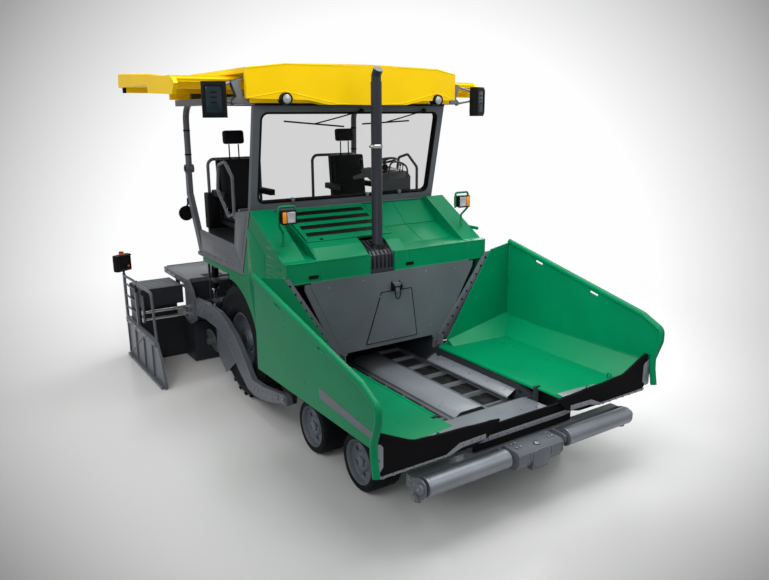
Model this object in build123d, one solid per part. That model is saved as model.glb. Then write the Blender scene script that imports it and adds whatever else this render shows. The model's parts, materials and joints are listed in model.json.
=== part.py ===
from build123d import *
import os
from math import cos, radians, sin

# Wheeled asphalt paver with roof, open receiving hopper and extendable screed.
# Millimetres. +X points to the hopper, +Y to the machine's left, +Z up.
# The origin is on the ground under the centre of the machine.

os.makedirs("parts", exist_ok=True)

# ---------------------------------------------------------------- driving sizes
RUN_GAP = 0.3                 # radial gap of a pin or shaft in its bore
SEAT_GAP = 0.3                # gap of a soft pad over what carries it
BODY_HALF = 1250              # outer face of the green side panels
PLATE = 40                    # thickness of the body's side walls
BODY_FRONT = (860, 895)       # the green front wall
CHEEK_TOP = ((-50, 2240), (0, 2275), (100, 2290), (800, 1868), (895, 1862))
CHEEK_IN = 1000               # inner wall of the flat cheeks
BOOT_Y = (-290, -10)          # black boot of the exhaust in its recess
ENGINE_FRONT = 640
ENGINE_TOP = 1650
REAR_PLATE_TOP = ENGINE_TOP + 5

REAR_AXLE_X = -597
REAR_TYRE_R = 684
REAR_TYRE_W = 360
REAR_TYRE_OUT = 1161          # outer face of the rear tyre
REAR_RIM_R = 338
ARCH_GAP = 76                 # between the rear tyre and its wheel arch

FRONT_AXLES_X = (1129, 2004)  # the two small wheels of each bogie
FRONT_WHEEL_R = 272
FRONT_WHEEL_W = 300
FRONT_WHEEL_OUT = 1159
FRONT_DISC_R = 201
KING_PIN_Y = 790
KING_PIN_R = 24
STUB_R = 35                   # stub axle of a small wheel

FRAME_Y = 600                 # inner face of the frame's side plates
FRAME_T = 40
DECK_Z = 450                  # top of the conveyor's deck plate
DECK_T = 20
TUNNEL_TOP = 900              # top of the roof over the conveyor tunnel
TUNNEL_ROOF_T = 20
FRAME_REAR_X = -1550
FRAME_FRONT_X = 2400
LASHING_EYES = ((2190, 590), (-1460, 640))   # (x, z)
LASHING_R = 25
DIVIDER_HALF = 187
DIVIDER_TOP = 543

HOPPER_BACK = 930             # rear wall of the open hopper wings
WING_PIVOT_Y = 600
WING_PIVOT_Z = 700
WING_HALF = 1600              # outer face of an open wing
WING_T = 16
WING_TUBE_R = 30
WING_PIN_R = 12

APRON_HALF = 570
APRON_PIVOT_X = 2290
APRON_PIVOT_Z = 560
APRON_TUBE_R = 18
FLAP_X = (2896, 2916)         # rubber flaps along the wings' front

ROLLER_X = 3000
ROLLER_Z = 505
ROLLER_R = 78
ROLLER_Y = (345, 1175)
ROLLER_SHAFT_R = 20
PUSH_PIVOT_X = 2720
PUSH_PIVOT_R = 30

TOW_PIN_X = 740
TOW_PIN_Z = 430
TOW_PIN_R = 25
ARM_Y = (BODY_HALF - 60, BODY_HALF + 2)      # inner and outer face of the tow arms
LIFT_TOP = (-1640, 1500)      # pins of the screed's lift cylinders, (x, z)
LIFT_EYE = (-1790, 620)
LIFT_Y = BODY_HALF - 220
LIFT_PIN_R = 20
LIFT_EYE_GAP = 4              # the straight stroke leaves the screed's arc by 2.3 mm at most
AUGER_X = -1730
AUGER_Z = 370
AUGER_R = 165

SCREED_X = (-3070, -2050)     # rear of the walkway and front of the basic screed
SCREED_HALF = ARM_Y[1] - 12
SCREED_DEPTH = 400            # basic screed plate, front to rear
SCREED_TOP = 1150
BEAM_T = 120                  # cross beam that guides the extensions' tubes
GUIDE_R = 22
GUIDE_Z = (680, 775)
EXT_OUT = 1850                # inner face of the end gate, extensions as parked
EXT_INNER = 560               # inner end of an extension as parked

ROOF_X = (-2180, 450)
ROOF_HALF = BODY_HALF + 40
ROOF_RAIL_Y = (BODY_HALF - 155, BODY_HALF - 10)   # side rails under the roof
ROOF_TOP = 3740
CANOPY_OUT = 1900
CANOPY_RAILS_X = (-1950, -280)
CANOPY_RAIL_Z = 3500
LINING_Z = 3425
HEADLIGHT_Y = 934
HEADLIGHT_Z = 3395
FLOOR_Z = 1600                # top of the operator's floor
SEAT_POST_TOP = FLOOR_Z + 300
SEAT_Y = 780
SEAT_X = -1080
LID_HINGE = (-20, 2245)       # pins of the hood lid, (x, z)
LID_PIN_R = 8
SEAT_PIN_R = 20
CONSOLE_Z = 2262              # underside of the sliding console


# ---------------------------------------------------------------- small helpers
def box(x0, x1, y0, y1, z0, z1):
    """Block between two corners."""
    middle = Pos((x0 + x1) / 2, (y0 + y1) / 2, (z0 + z1) / 2)
    return middle * Box(abs(x1 - x0), abs(y1 - y0), abs(z1 - z0))


def slab_y(outline, y0, y1):
    """Plate whose (x, z) outline is extruded from y0 to y1."""
    face = Plane.XZ * make_face(Polyline(*outline, close=True))
    return Pos(0, y0, 0) * extrude(face, amount=-(y1 - y0))


def slab_x(outline, x0, x1):
    """Plate whose (y, z) outline is extruded from x0 to x1."""
    face = Plane.YZ * make_face(Polyline(*outline, close=True))
    return Pos(x0, 0, 0) * extrude(face, amount=x1 - x0)


def slab_z(outline, z0, z1):
    """Plate whose (x, y) outline is extruded from z0 to z1."""
    face = make_face(Polyline(*outline, close=True))
    return Pos(0, 0, z0) * extrude(face, amount=z1 - z0)


def rod_y(x, z, radius, y0, y1):
    """Round bar along Y."""
    return Pos(x, (y0 + y1) / 2, z) * Rot(90, 0, 0) * Cylinder(radius, abs(y1 - y0))


def rod_x(y, z, radius, x0, x1):
    """Round bar along X."""
    return Pos((x0 + x1) / 2, y, z) * Rot(0, 90, 0) * Cylinder(radius, abs(x1 - x0))


def rod_z(x, y, radius, z0, z1):
    """Round bar along Z."""
    return Pos(x, y, (z0 + z1) / 2) * Cylinder(radius, abs(z1 - z0))


def bar(p, q, radius):
    """Round bar from point p to point q."""
    axis = Vector(*q) - Vector(*p)
    return Plane(origin=p, z_dir=axis) * Pos(0, 0, axis.length / 2) * Cylinder(radius, axis.length)


def tube(points, bend, radius):
    """Round bar bent along a polyline, every corner with the same bend radius."""
    path = FilletPolyline(*points, radius=bend)
    return sweep(Plane(origin=path @ 0, z_dir=path % 0) * Circle(radius), path=path)


def left(shape):
    """The same piece on the machine's other side."""
    return mirror(shape, about=Plane.XZ)


def save(shape, name):
    """Write one node."""
    export_step(shape, f"parts/{name}.step")


def save_pair(shape, name):
    """Write a piece modelled on the right side (-Y) and its twin on the left."""
    save(shape, f"{name}_right")
    save(left(shape), f"{name}_left")


def both(shape):
    """The piece and its twin as one set."""
    return Compound(children=[*shape.solids(), *left(shape).solids()])


# ---------------------------------------------------------------- main frame
def main_frame():
    """Side plates, conveyor deck and tunnel, rear axle, bogie beams and brackets."""
    outline = [
        (FRAME_REAR_X, 620), (-1300, 330), (2250, 330), (FRAME_FRONT_X, 430), (FRAME_FRONT_X, 600),
        (2150, 668), (785, 668), (775, TUNNEL_TOP), (-130, TUNNEL_TOP), (-130, FLOOR_Z - PLATE),
        (FRAME_REAR_X, FLOOR_Z - PLATE),
    ]
    side = slab_y(outline, -FRAME_Y - FRAME_T, -FRAME_Y)
    frame = side + left(side)
    frame += box(FRAME_REAR_X, 2160, -FRAME_Y, FRAME_Y, DECK_Z - DECK_T, DECK_Z)
    frame += box(FRAME_REAR_X, 775, -FRAME_Y, FRAME_Y, TUNNEL_TOP - TUNNEL_ROOF_T, TUNNEL_TOP)
    frame += box(FRAME_REAR_X, FRAME_REAR_X + 20, -FRAME_Y, FRAME_Y, TUNNEL_TOP, FLOOR_Z - PLATE)
    half, high = DIVIDER_HALF, DIVIDER_TOP
    divider = [(-half, DECK_Z), (-half, high - 40), (-half + 60, high), (half - 60, high), (half, high - 40),
               (half, DECK_Z)]
    frame += slab_x(divider, FRAME_REAR_X, 2160)
    frame += slab_y([(2160, 330), (2160, 470), (FRAME_FRONT_X, 540), (FRAME_FRONT_X, 430), (2250, 330)],
                    -FRAME_Y, FRAME_Y)
    # beams across the bottom, and the rear axle with its hubs
    for x in (-300, 500):
        frame += box(x, x + 120, -FRAME_Y, FRAME_Y, 340, DECK_Z - DECK_T)
    hub_y = REAR_TYRE_OUT - REAR_TYRE_W + 60
    axle = rod_y(REAR_AXLE_X, REAR_TYRE_R, 120, -FRAME_Y - 30, -hub_y) + rod_y(
        REAR_AXLE_X, REAR_TYRE_R, 70, -hub_y, -hub_y - 150)
    frame += axle + left(axle)
    # bogie beams with the forks of the king pins
    low, high = min(FRONT_AXLES_X), max(FRONT_AXLES_X)
    middle = (low + high) / 2
    bogie = slab_y([(low - 50, 150), (high + 50, 150), (high + 50, 400), (middle + 130, 470),
                    (middle - 130, 470), (low - 50, 400)], -725, -665)
    bogie += rod_y(middle, 400, 60, -FRAME_Y, -725)
    for x in FRONT_AXLES_X:
        for z in (130, 370):
            lug = box(x - 45, x + 45, -KING_PIN_Y, -700, z, z + 40) + rod_z(x, -KING_PIN_Y, 45, z, z + 40)
            bogie += lug
        bogie += rod_z(x, -KING_PIN_Y, KING_PIN_R, 130, 410)
    frame += bogie + left(bogie)
    # lashing eyes at both ends
    for x, z in LASHING_EYES:
        frame -= rod_y(x, z, LASHING_R, -FRAME_Y - FRAME_T - 5, -FRAME_Y + 5)
        frame -= rod_y(x, z, LASHING_R, FRAME_Y - 5, FRAME_Y + FRAME_T + 5)
    # brackets that carry the body's side panels
    bracket = box(640, 700, -BODY_HALF + PLATE, -FRAME_Y - FRAME_T / 2, 680, 740)
    frame += bracket + left(bracket)
    # lugs and pins of the hopper wings
    for x0, x1, pin_x in ((886, 926, 990), (2386, 2412, 2320)):
        lug = rod_x(-WING_PIVOT_Y, WING_PIVOT_Z, 24, x0, x1)
        lug += box(x0, x1, -WING_PIVOT_Y - 24, -WING_PIVOT_Y + 20, 560, WING_PIVOT_Z)
        lug += rod_x(-WING_PIVOT_Y, WING_PIVOT_Z, WING_PIN_R, min(x0, pin_x), max(x1, pin_x))
        frame += lug + left(lug)
    # outriggers and pins of the tow points
    face = ARM_Y[0] - 15
    tow = box(620, 800, -face, -FRAME_Y, 576, 640)
    tow += slab_y([(660, TOW_PIN_Z - 40), (780, TOW_PIN_Z - 40), (800, 576), (620, 576)], -face, -face + 40)
    tow += rod_y(TOW_PIN_X, TOW_PIN_Z, TOW_PIN_R, -face + 35, -ARM_Y[1] - 12)
    frame += tow + left(tow)
    # rear brackets for the screed's lift cylinders
    top_x, top_z = LIFT_TOP
    low, high = 1380, 1558
    ear = [(FRAME_REAR_X, low), (top_x - 40, top_z - 40), (top_x - 40, top_z + 40), (FRAME_REAR_X, high)]
    lug = slab_y(ear, -LIFT_Y + 50, -LIFT_Y + 70)
    arm = box(FRAME_REAR_X, FRAME_REAR_X + 60, -LIFT_Y - 60, -FRAME_Y, low, high)
    pin = rod_y(top_x, top_z, LIFT_PIN_R, -LIFT_Y - 34, -LIFT_Y + 60)
    frame += arm + lug + pin + left(arm + lug + pin)
    # auger carrier under the tunnel's rear end
    frame += box(FRAME_REAR_X - 60, FRAME_REAR_X + 60, -60, 60, AUGER_Z - 60, DECK_Z - DECK_T)
    frame += box(AUGER_X, FRAME_REAR_X, -60, 60, AUGER_Z - 60, AUGER_Z + 60)
    frame += rod_y(AUGER_X, AUGER_Z, 90, -60, 60)
    # pivot post of the push roller beam
    frame += box(FRAME_FRONT_X - 60, PUSH_PIVOT_X + 60, -120, 120, 400, 430)
    frame += rod_z(PUSH_PIVOT_X, 0, PUSH_PIVOT_R, 430, 556)
    # bores of the front apron's tube, and the covers over the conveyors' outer chains
    bore = APRON_TUBE_R + RUN_GAP
    for s in (-1, 1):
        frame -= rod_y(APRON_PIVOT_X, APRON_PIVOT_Z, bore, s * (FRAME_Y - 5), s * (FRAME_Y + FRAME_T + 5))
    cover = slab_x([(-FRAME_Y - 5, 590), (-FRAME_Y - 5, 605), (-490, 545), (-490, 530)], 790, 2135)
    return frame + cover + left(cover)


def conveyor_flights():
    """Two slat conveyors: a pair of chains with cross bars each, lying on the deck."""
    gap = SEAT_GAP
    inner, outer = DIVIDER_HALF + 18, FRAME_Y - 18
    run = None
    for y in (inner + 20, outer - 20):
        strand = box(FRAME_REAR_X, 2130, -y - 20, -y + 20, DECK_Z + gap, DECK_Z + 40)
        run = strand if run is None else run + strand
    low, high = DECK_Z + gap, DECK_Z + 34
    for k in range(12):
        x = FRAME_REAR_X + 60 + 320 * k
        bar_section = [(x, low), (x + 60, low), (x + 45, high), (x + 15, high)]
        run += slab_y(bar_section, -outer + 30, -inner - 30)
    return both(run)


# ---------------------------------------------------------------- wheels
def rear_tyre():
    """Rear tyre as a turned ring with round shoulders; the bore sits on the rim."""
    half = REAR_TYRE_W / 2
    yc = REAR_TYRE_OUT - half
    lip, crown = REAR_RIM_R, REAR_TYRE_R
    shoulder = crown - 60
    with BuildPart() as part:
        with BuildSketch(Plane.XY):
            with BuildLine():
                Polyline((lip, -half + 45), (lip + 12, -half + 20), (lip + 60, -half + 2),
                         (crown - 120, -half), (shoulder, -half + 8))
                ThreePointArc((shoulder, -half + 8), (crown - 16, -half + 22), (crown, -half + 70))
                Line((crown, -half + 70), (crown, half - 70))
                ThreePointArc((crown, half - 70), (crown - 16, half - 22), (shoulder, half - 8))
                Polyline((shoulder, half - 8), (crown - 120, half), (lip + 60, half - 2),
                         (lip + 12, half - 20), (lip, half - 45), (lip, -half + 45))
            make_face()
        revolve(axis=Axis.Y)
    return Pos(REAR_AXLE_X, -yc, REAR_TYRE_R) * part.part


def rear_rim():
    """Drop-centre rim with a dished disc, hub bore and ring of nut bosses."""
    yc = REAR_TYRE_OUT - REAR_TYRE_W / 2
    with BuildPart() as part:
        with BuildSketch(Plane.XY):
            with BuildLine():
                Polyline(*RIM_SECTION, close=True)
            make_face()
        revolve(axis=Axis.Y)
    return Pos(REAR_AXLE_X, -yc, REAR_TYRE_R) * part.part


def front_wheel(x):
    """Small solid-rubber wheel: tread ring and recessed steel disc with lightening holes."""
    half = FRONT_WHEEL_W / 2
    yc = FRONT_WHEEL_OUT - half
    r = FRONT_WHEEL_R
    d = FRONT_DISC_R
    bore = STUB_R + RUN_GAP
    section = [(r - 20, -half), (r, -half + 24), (r, half - 24), (r - 20, half), (d + 4, half - 6),
               (d - 15, half - 60), (d - 15, -60), (60, -60), (60, 60), (bore, 60), (bore, -45), (0, -45),
               (0, -half + 40), (80, -half + 40), (100, -half + 62), (d - 20, -half + 62),
               (d - 8, -half + 20), (d + 4, -half)]
    wheel = revolve(Plane.XY * make_face(Polyline(*section, close=True)), axis=Axis.Y)
    for k in range(6):
        a = radians(60 * k + 30)
        wheel -= Pos(140 * cos(a), -half + 70, 140 * sin(a)) * Rot(90, 0, 0) * Cylinder(24, 80)
    return Pos(x, -yc, r) * wheel


def knuckle(x):
    """Steering knuckle: sleeve on the king pin and a stub axle."""
    sleeve = rod_z(x, -KING_PIN_Y, 40, 171, 369)
    stub = rod_y(x, FRONT_WHEEL_R, STUB_R, -KING_PIN_Y - 20, -FRONT_WHEEL_OUT + 110)
    return sleeve + stub - rod_z(x, -KING_PIN_Y, KING_PIN_R + RUN_GAP, 160, 380)


# ---------------------------------------------------------------- hopper
def hopper_rear_plate():
    """Leaning trapezoid plate behind the hopper, with side posts and the tunnel mouth."""
    low, high = 800, REAR_PLATE_TOP
    foot = 668
    lean = 78 / 840

    def leaning(front, thickness, z0, z1=high, half=1100):
        """Sheet that leans forward from z0 up to z1."""
        x0 = front + lean * (z0 - low)
        x1 = front + lean * (z1 - low)
        return slab_y([(x0, z0), (x1, z1), (x1 - thickness, z1), (x0 - thickness, z0)], -half, half)

    mouth = 830
    face = [(-1000, high), (-1000, high - 40), (-590, low), (-560, low), (-560, mouth), (560, mouth),
            (560, low), (590, low), (1000, high - 40), (1000, high)]
    plate = leaning(833, 12, low) & slab_x(face, 700, 1000)
    post_top = ENGINE_TOP - 10
    post = [(-1060, post_top), (-1060, post_top - 60), (-640, 720), (-640, foot), (-588, foot), (-588, low),
            (-995, post_top - 40), (-995, post_top)]
    post = leaning(831, 30, foot) & slab_x(post, 700, 1000)
    post += box(815, HOPPER_BACK - 6, -640, -630, 690, 840)
    plate += post + left(post)
    strip = [(-1300, 1725), (-660, 730), (-588, 747), (-1230, 1725)]
    strip = leaning(838, 10, 700, 1740, 1320) & slab_x(strip, 700, 1000)
    plate += strip + left(strip)
    plate += leaning(839, 6, 860) & slab_x([(-330, 880), (330, 880), (215, 1440), (-170, 1440)], 700, 1000)
    x = 833 + lean * 640
    plate += box(x, x + 55, -40, 40, 1440, 1530)
    return plate


def hopper_wing():
    """One open hopper wing (right side): outer wall, bent foot, floor, rear wall and edge tube."""
    back = HOPPER_BACK
    y = -WING_HALF
    outline = [(back, 930), (2935, 930), (2950, 990), (3015, 1150), (3015, 1235), (2950, 1290),
               (2800, 1363), (back, 1800)]
    wall = slab_y(outline, y, y + WING_T)
    for x, z in ((1420, 1640), (2200, 1450)):
        wall -= Pos(x, y, z) * Rot(0, 13, 0) * Box(110, 60, 26)
    # foot and floor as one bent plate
    front = FLAP_X[0]
    fold = -1340
    foot = slab_x([(y, 930), (y + WING_T, 930), (fold + 6, 758), (-WING_PIVOT_Y, 712), (-WING_PIVOT_Y, 696),
                   (fold - 4, 740), (y, 912)], back, front)
    rear_outline = [(y, 912), (fold, 742), (-WING_PIVOT_Y - 10, 705), (-WING_PIVOT_Y - 70, 745),
                    (-1305, 1748), (y, 1800)]
    rear = slab_x(rear_outline, back, back + 14)
    # sloping sheet between the floor and the rear wall
    near, far, corner = Vector(1030, -707, 719), Vector(1174, fold, 757), Vector(back + 14, y + WING_T, 960)
    facet = Plane(origin=near, x_dir=far - near, z_dir=(corner - near).cross(far - near))
    gusset = extrude(facet * Rectangle(2400, 800), amount=-12)
    gusset &= slab_x([(-700, 715), (fold, 750), (y + WING_T - 4, 935), (y + WING_T - 4, 985), (-700, 985)],
                     back + 13, 1300)
    tube_path = [(back, y + 4, 1806), (2800, y + 4, 1366), (3010, y + 4, 1262), (3010, y + 4, 1150),
                 (2945, y + 4, 960), (2950, y + 4, 860), (2978, y + 4, 706)]
    edge = tube(tube_path, 60, WING_TUBE_R)
    hinge = rod_x(-WING_PIVOT_Y, WING_PIVOT_Z, 22, back, 2380)
    wing = wall + foot + rear + gusset + edge + hinge
    # wear plate next to the apron
    edge_y = -WING_PIVOT_Y - 15
    wing += slab_x([(-1290, 748), (-1290, 765), (edge_y, 722), (edge_y, 705)], 2640, front)
    wing -= rod_x(-WING_PIVOT_Y, WING_PIVOT_Z, 60, 2380, 2420)
    for x0, x1 in ((back - 10, 1000), (2310, 2390)):
        wing -= rod_x(-WING_PIVOT_Y, WING_PIVOT_Z, WING_PIN_R + RUN_GAP, x0, x1)
    return wing


def wing_flap():
    """Rubber flap along the front of a wing, from the edge tube to the middle of the apron."""
    outline = [(-WING_HALF + 40, 1004), (-WING_HALF + 100, 1004), (-1205, 864), (-683, 840), (-345, 822),
               (-345, 812), (-460, 696), (-WING_PIVOT_Y - 20, 655), (-1500, 640), (-WING_HALF + 40, 720)]
    return slab_x(outline, *FLAP_X)


def front_apron():
    """Hinged front apron: bent plate across the conveyor's front with its pivot tube."""
    y0, y1 = -APRON_HALF, APRON_HALF
    plate = slab_y([(APRON_PIVOT_X - 20, 575), (2700, 600), (2830, 720), (2842, 710), (2708, 588),
                    (APRON_PIVOT_X, 560)], y0, y1)
    return plate + rod_y(APRON_PIVOT_X, APRON_PIVOT_Z, APRON_TUBE_R, y0 - 65, y1 + 65)


def apron_flap():
    """Rubber flap under the front edge of the apron."""
    return slab_y([(2842, 563), (2842, 756), (2862, 756), (2862, 563)], -APRON_HALF, APRON_HALF)


def push_beam():
    """Swinging push roller beam with its centre hook and end brackets."""
    beam = box(2800, 2880, -1200, 1200, ROLLER_Z - 60, ROLLER_Z + 40)
    beam += box(PUSH_PIVOT_X - 50, 2800, -110, 110, 431, 550)
    beam -= rod_z(PUSH_PIVOT_X, 0, PUSH_PIVOT_R + RUN_GAP, 400, 620)
    inner, outer = ROLLER_Y
    for y in (inner - 30, outer + 10):
        for s in (-1, 1):
            plate = slab_y([(2800, 440), (ROLLER_X, 440), (ROLLER_X + 40, 480), (ROLLER_X + 40, 530),
                            (ROLLER_X, 545), (2800, 545)], s * y, s * (y + 20))
            beam += plate
    for s in (-1, 1):
        beam += rod_y(ROLLER_X, ROLLER_Z, ROLLER_SHAFT_R, s * (inner - 30), s * (outer + 20))
    casting = [(2880, 360), (3035, 380), (3070, 440), (3070, 520), (3045, 545), (2880, 545)]
    hook = box(2950, 3060, -90, 90, 343, 400)
    return beam + slab_y(casting, -255, 255) + hook


def push_roller():
    """One push roller turning on the beam's fixed shaft."""
    inner, outer = ROLLER_Y
    drum = rod_y(ROLLER_X, ROLLER_Z, ROLLER_R, -inner, -outer)
    return drum - rod_y(ROLLER_X, ROLLER_Z, ROLLER_SHAFT_R + RUN_GAP, -inner + 5, -outer - 5)


# ---------------------------------------------------------------- body
def engine_block():
    """Engine with gearbox as one plain block on the tunnel roof."""
    return box(-40, ENGINE_FRONT, -430, 430, TUNNEL_TOP, ENGINE_TOP)


def body_shell():
    """Green bodywork: side panels with wheel arches, cheeks, front wall and sunk deck."""
    arch = REAR_TYRE_R + ARCH_GAP
    inner = BODY_HALF - PLATE
    wall_x, face_x = BODY_FRONT
    floor_z = FLOOR_Z - PLATE - 5
    low_z = floor_z - 55
    top = list(CHEEK_TOP)
    outline = [(-1450, low_z), (-600, low_z), (-600, 660), (face_x, 660), *top[:1:-1],
               (-182, floor_z), (-1450, floor_z)]
    panel = slab_y(outline, -BODY_HALF, -inner)
    panel -= rod_y(REAR_AXLE_X, REAR_TYRE_R, arch, -BODY_HALF - 10, -inner + 10)
    # flat band along the top of each side, and its inner wall down to the sunk deck
    band = [*top, (face_x, 1838), (792, 1843), (95, 2262), (0, 2248), (-50, 2212)]
    panel += slab_y(band, -inner, -CHEEK_IN)
    panel += slab_y([*top[:4], (880, 1862), (880, 1842), (614, 1862), (290, 2000), (-50, 2212)],
                    -CHEEK_IN - 12, -CHEEK_IN)
    shell = panel + left(panel)
    shell += box(wall_x, face_x, -inner, inner, ENGINE_TOP, 1860)
    deck = [(-50, 2212), (-50, 2240), (0, 2270), (300, 2020), (620, 1880), (862, 1858), (862, 1838),
            (614, 1860), (290, 1998)]
    shell += slab_y(deck, 169, CHEEK_IN)
    shell += slab_y(deck, -CHEEK_IN, -881)
    shell += slab_y([(-50, 2240), (-50, 1600), (-90, 1600), (-90, 2240)], -inner, inner)
    ledge = [(625, 1998), (720, 1955), (862, 1850), (862, ENGINE_TOP), (840, ENGINE_TOP), (840, 1840),
             (712, 1940), (620, 1982)]
    shell += slab_y(ledge, -881, BOOT_Y[0] - 10) + slab_y(ledge, BOOT_Y[1] + 10, 169)
    shell -= box(wall_x - 1, face_x + 1, BOOT_Y[0] - 10, BOOT_Y[1] + 10, ENGINE_TOP - 1, 1861)
    lid_wall = [(-50, 2240), (-20, 2255), (700, 1960), (860, 1850), (860, 1800), (600, 1800), (-50, 2100)]
    for y0 in (-895, 155):
        shell += slab_y(lid_wall, y0, y0 + 15)
    foot_y, out_y, in_y = -BODY_HALF + 120, -BODY_HALF + 60, -BODY_HALF + 240
    lamp = tube([(600, foot_y, 1890), (600, foot_y, 2120), (640, out_y, 2200), (640, out_y, 2380),
                 (640, in_y, 2380), (640, in_y, 2210)], 25, 12)
    shell += lamp + left(lamp)
    for y0, y1 in ((-881, -850), (120, 156)):
        shell += rod_y(LID_HINGE[0], LID_HINGE[1], LID_PIN_R, y0, y1)
    return shell


def hood_lid():
    """Louvred engine cover, hinged along its rear edge."""
    y0, y1 = -872, 147
    lid = slab_y([(-30, 2266), (30, 2262), (615, 2004), (608, 1984), (20, 2240), (-30, 2240)], y0, y1)
    for k in range(4):
        x = 125 + 125 * k
        z = 2262 - (x - 30) * 258 / 585
        lid -= Pos(x, (y0 + y1) / 2 - 10, z) * Rot(0, 24, 0) * Box(58, 900, 60)
    for y in (y0, y1 - 40):
        lid += rod_y(LID_HINGE[0], LID_HINGE[1], LID_PIN_R + 7, y, y + 40)
        lid -= rod_y(LID_HINGE[0], LID_HINGE[1], LID_PIN_R + RUN_GAP, y - 5, y + 45)
    return lid


def exhaust_stack():
    """Vertical exhaust on its black boot, with a slanted tip."""
    y = (BOOT_Y[0] + BOOT_Y[1]) / 2 + 25
    pipe = rod_z(750, y, 56, 1700, 3560)
    tip = tube([(750, y, 3540), (750, y, 3620), (790, y, 3680)], 30, 50)
    boot = [(ENGINE_FRONT, 1600), (880, 1600), (880, 1840), (840, 1880), (ENGINE_FRONT, 1960)]
    return pipe + tip + slab_y(boot, *BOOT_Y)


def operator_platform():
    """Floor, side sills, front side panels, rear wall, seat posts and steps."""
    inner = BODY_HALF - PLATE
    floor = box(-1620, -190, -BODY_HALF, BODY_HALF, FLOOR_Z - PLATE, FLOOR_Z)
    floor += box(-190, -95, -inner + 5, inner - 5, FLOOR_Z - PLATE, FLOOR_Z)
    sill = slab_y([(-1480, 1600), (-1480, 1880), (-400, 1850), (-310, 2230), (80, 2290), (-190, 1600)],
                  -BODY_HALF, -inner)
    floor += sill + left(sill)
    floor += box(-130, -95, -inner, inner, FLOOR_Z, 2240)
    floor += box(-330, -270, -inner, inner, 2190, CONSOLE_Z - SEAT_GAP)
    for s in (-1, 1):
        floor += rod_z(SEAT_X, s * SEAT_Y, 60, FLOOR_Z, SEAT_POST_TOP)
        floor += rod_z(SEAT_X, s * SEAT_Y, SEAT_PIN_R, SEAT_POST_TOP, SEAT_POST_TOP + 50)
    floor += box(-1620, -1580, -1100, 1100, FLOOR_Z, SEAT_POST_TOP)
    return floor


def handrails():
    """Guard rails beside and behind the seats."""
    y = -BODY_HALF + 22
    side = tube([(-400, y, 2160), (-400, y, 2600), (-600, y, 2750), (-800, y, 2700), (-860, y, 2420),
                 (-560, y, 2150), (-440, y, 2190)], 50, 17)
    side += bar((-440, y, 2190), (-400, y, 2200), 17)
    side += box(-412, -350, y - 8, y + 32, 2150, 2190)
    side += box(-412, -270, y + 18, y + 32, 2150, 2190)
    foot, top = SEAT_POST_TOP, 2720
    rear = tube([(-1600, -1060, foot), (-1600, -1060, top), (-1600, -380, top), (-1600, -380, foot)], 80, 19)
    return both(side), both(rear)


def windscreen_frame():
    """Leaning windscreen frame with rounded glass opening."""
    width_half, height, ring = BODY_HALF - 60, 1095, 80
    lean = radians(11.8)
    plane = Plane(origin=(-76, 0, 2268), x_dir=(0, 1, 0), z_dir=(cos(lean), 0, -sin(lean)))
    outer = Pos(0, height / 2) * Rectangle(2 * width_half, height)
    hole = Pos(0, height / 2 + 5) * RectangleRounded(2 * (width_half - ring), height - 2 * ring, 70)
    frame = extrude(plane * (outer - hole), amount=30, both=True)
    glass = extrude(plane * (Pos(0, height / 2 + 5) * RectangleRounded(
        2 * (width_half - ring) - 1, height - 2 * ring - 1, 69)), amount=4, both=True)
    for y in (-900, 900):
        frame += box(125, 170, y - 60, y + 60, 3320, 3350) + box(-90, -56, y - 60, y + 60, 2240, 2290)
    return frame, glass


def roof_frame():
    """Rear posts, cross beams, side rails and lining that carry the roof."""
    y = -BODY_HALF + 50
    post = tube([(-1500, y, 3385), (-1870, y, 3385), (-1885, y, 2600)], 220, 38)
    lower = [(-1925, 2640), (-1845, 2640), (-1840, 2300), (-1560, FLOOR_Z + 160), (-1500, FLOOR_Z),
             (-1600, FLOOR_Z), (-1660, FLOOR_Z + 140), (-1935, 2280)]
    knee = rod_y(-1885, 2600, 52, y - 50, y + 50)
    foot = box(-1610, -1500, y - 38, y + 20, FLOOR_Z, FLOOR_Z + 40)
    frame = both(post + slab_y(lower, y - 38, y + 20) + knee + foot)
    inner, outer = ROOF_RAIL_Y
    bottom, back, front = 3350, ROOF_X[0] + 60, 190
    beams = box(60, front, -outer, outer, bottom, LINING_Z)
    beams += box(-1560, -1480, -outer, outer, bottom, LINING_Z)
    for s in (-1, 1):
        beams += box(back, front, s * inner, s * outer, bottom, LINING_Z)
    beams += box(back, front, -inner - 5, inner + 5, LINING_Z - 20, LINING_Z)
    for x in CANOPY_RAILS_X:
        beams += box(x - 35, x + 35, -inner, inner, LINING_Z, CANOPY_RAIL_Z - SEAT_GAP)
    whole = beams
    for piece in frame.solids():
        whole += piece
    return whole


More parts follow.
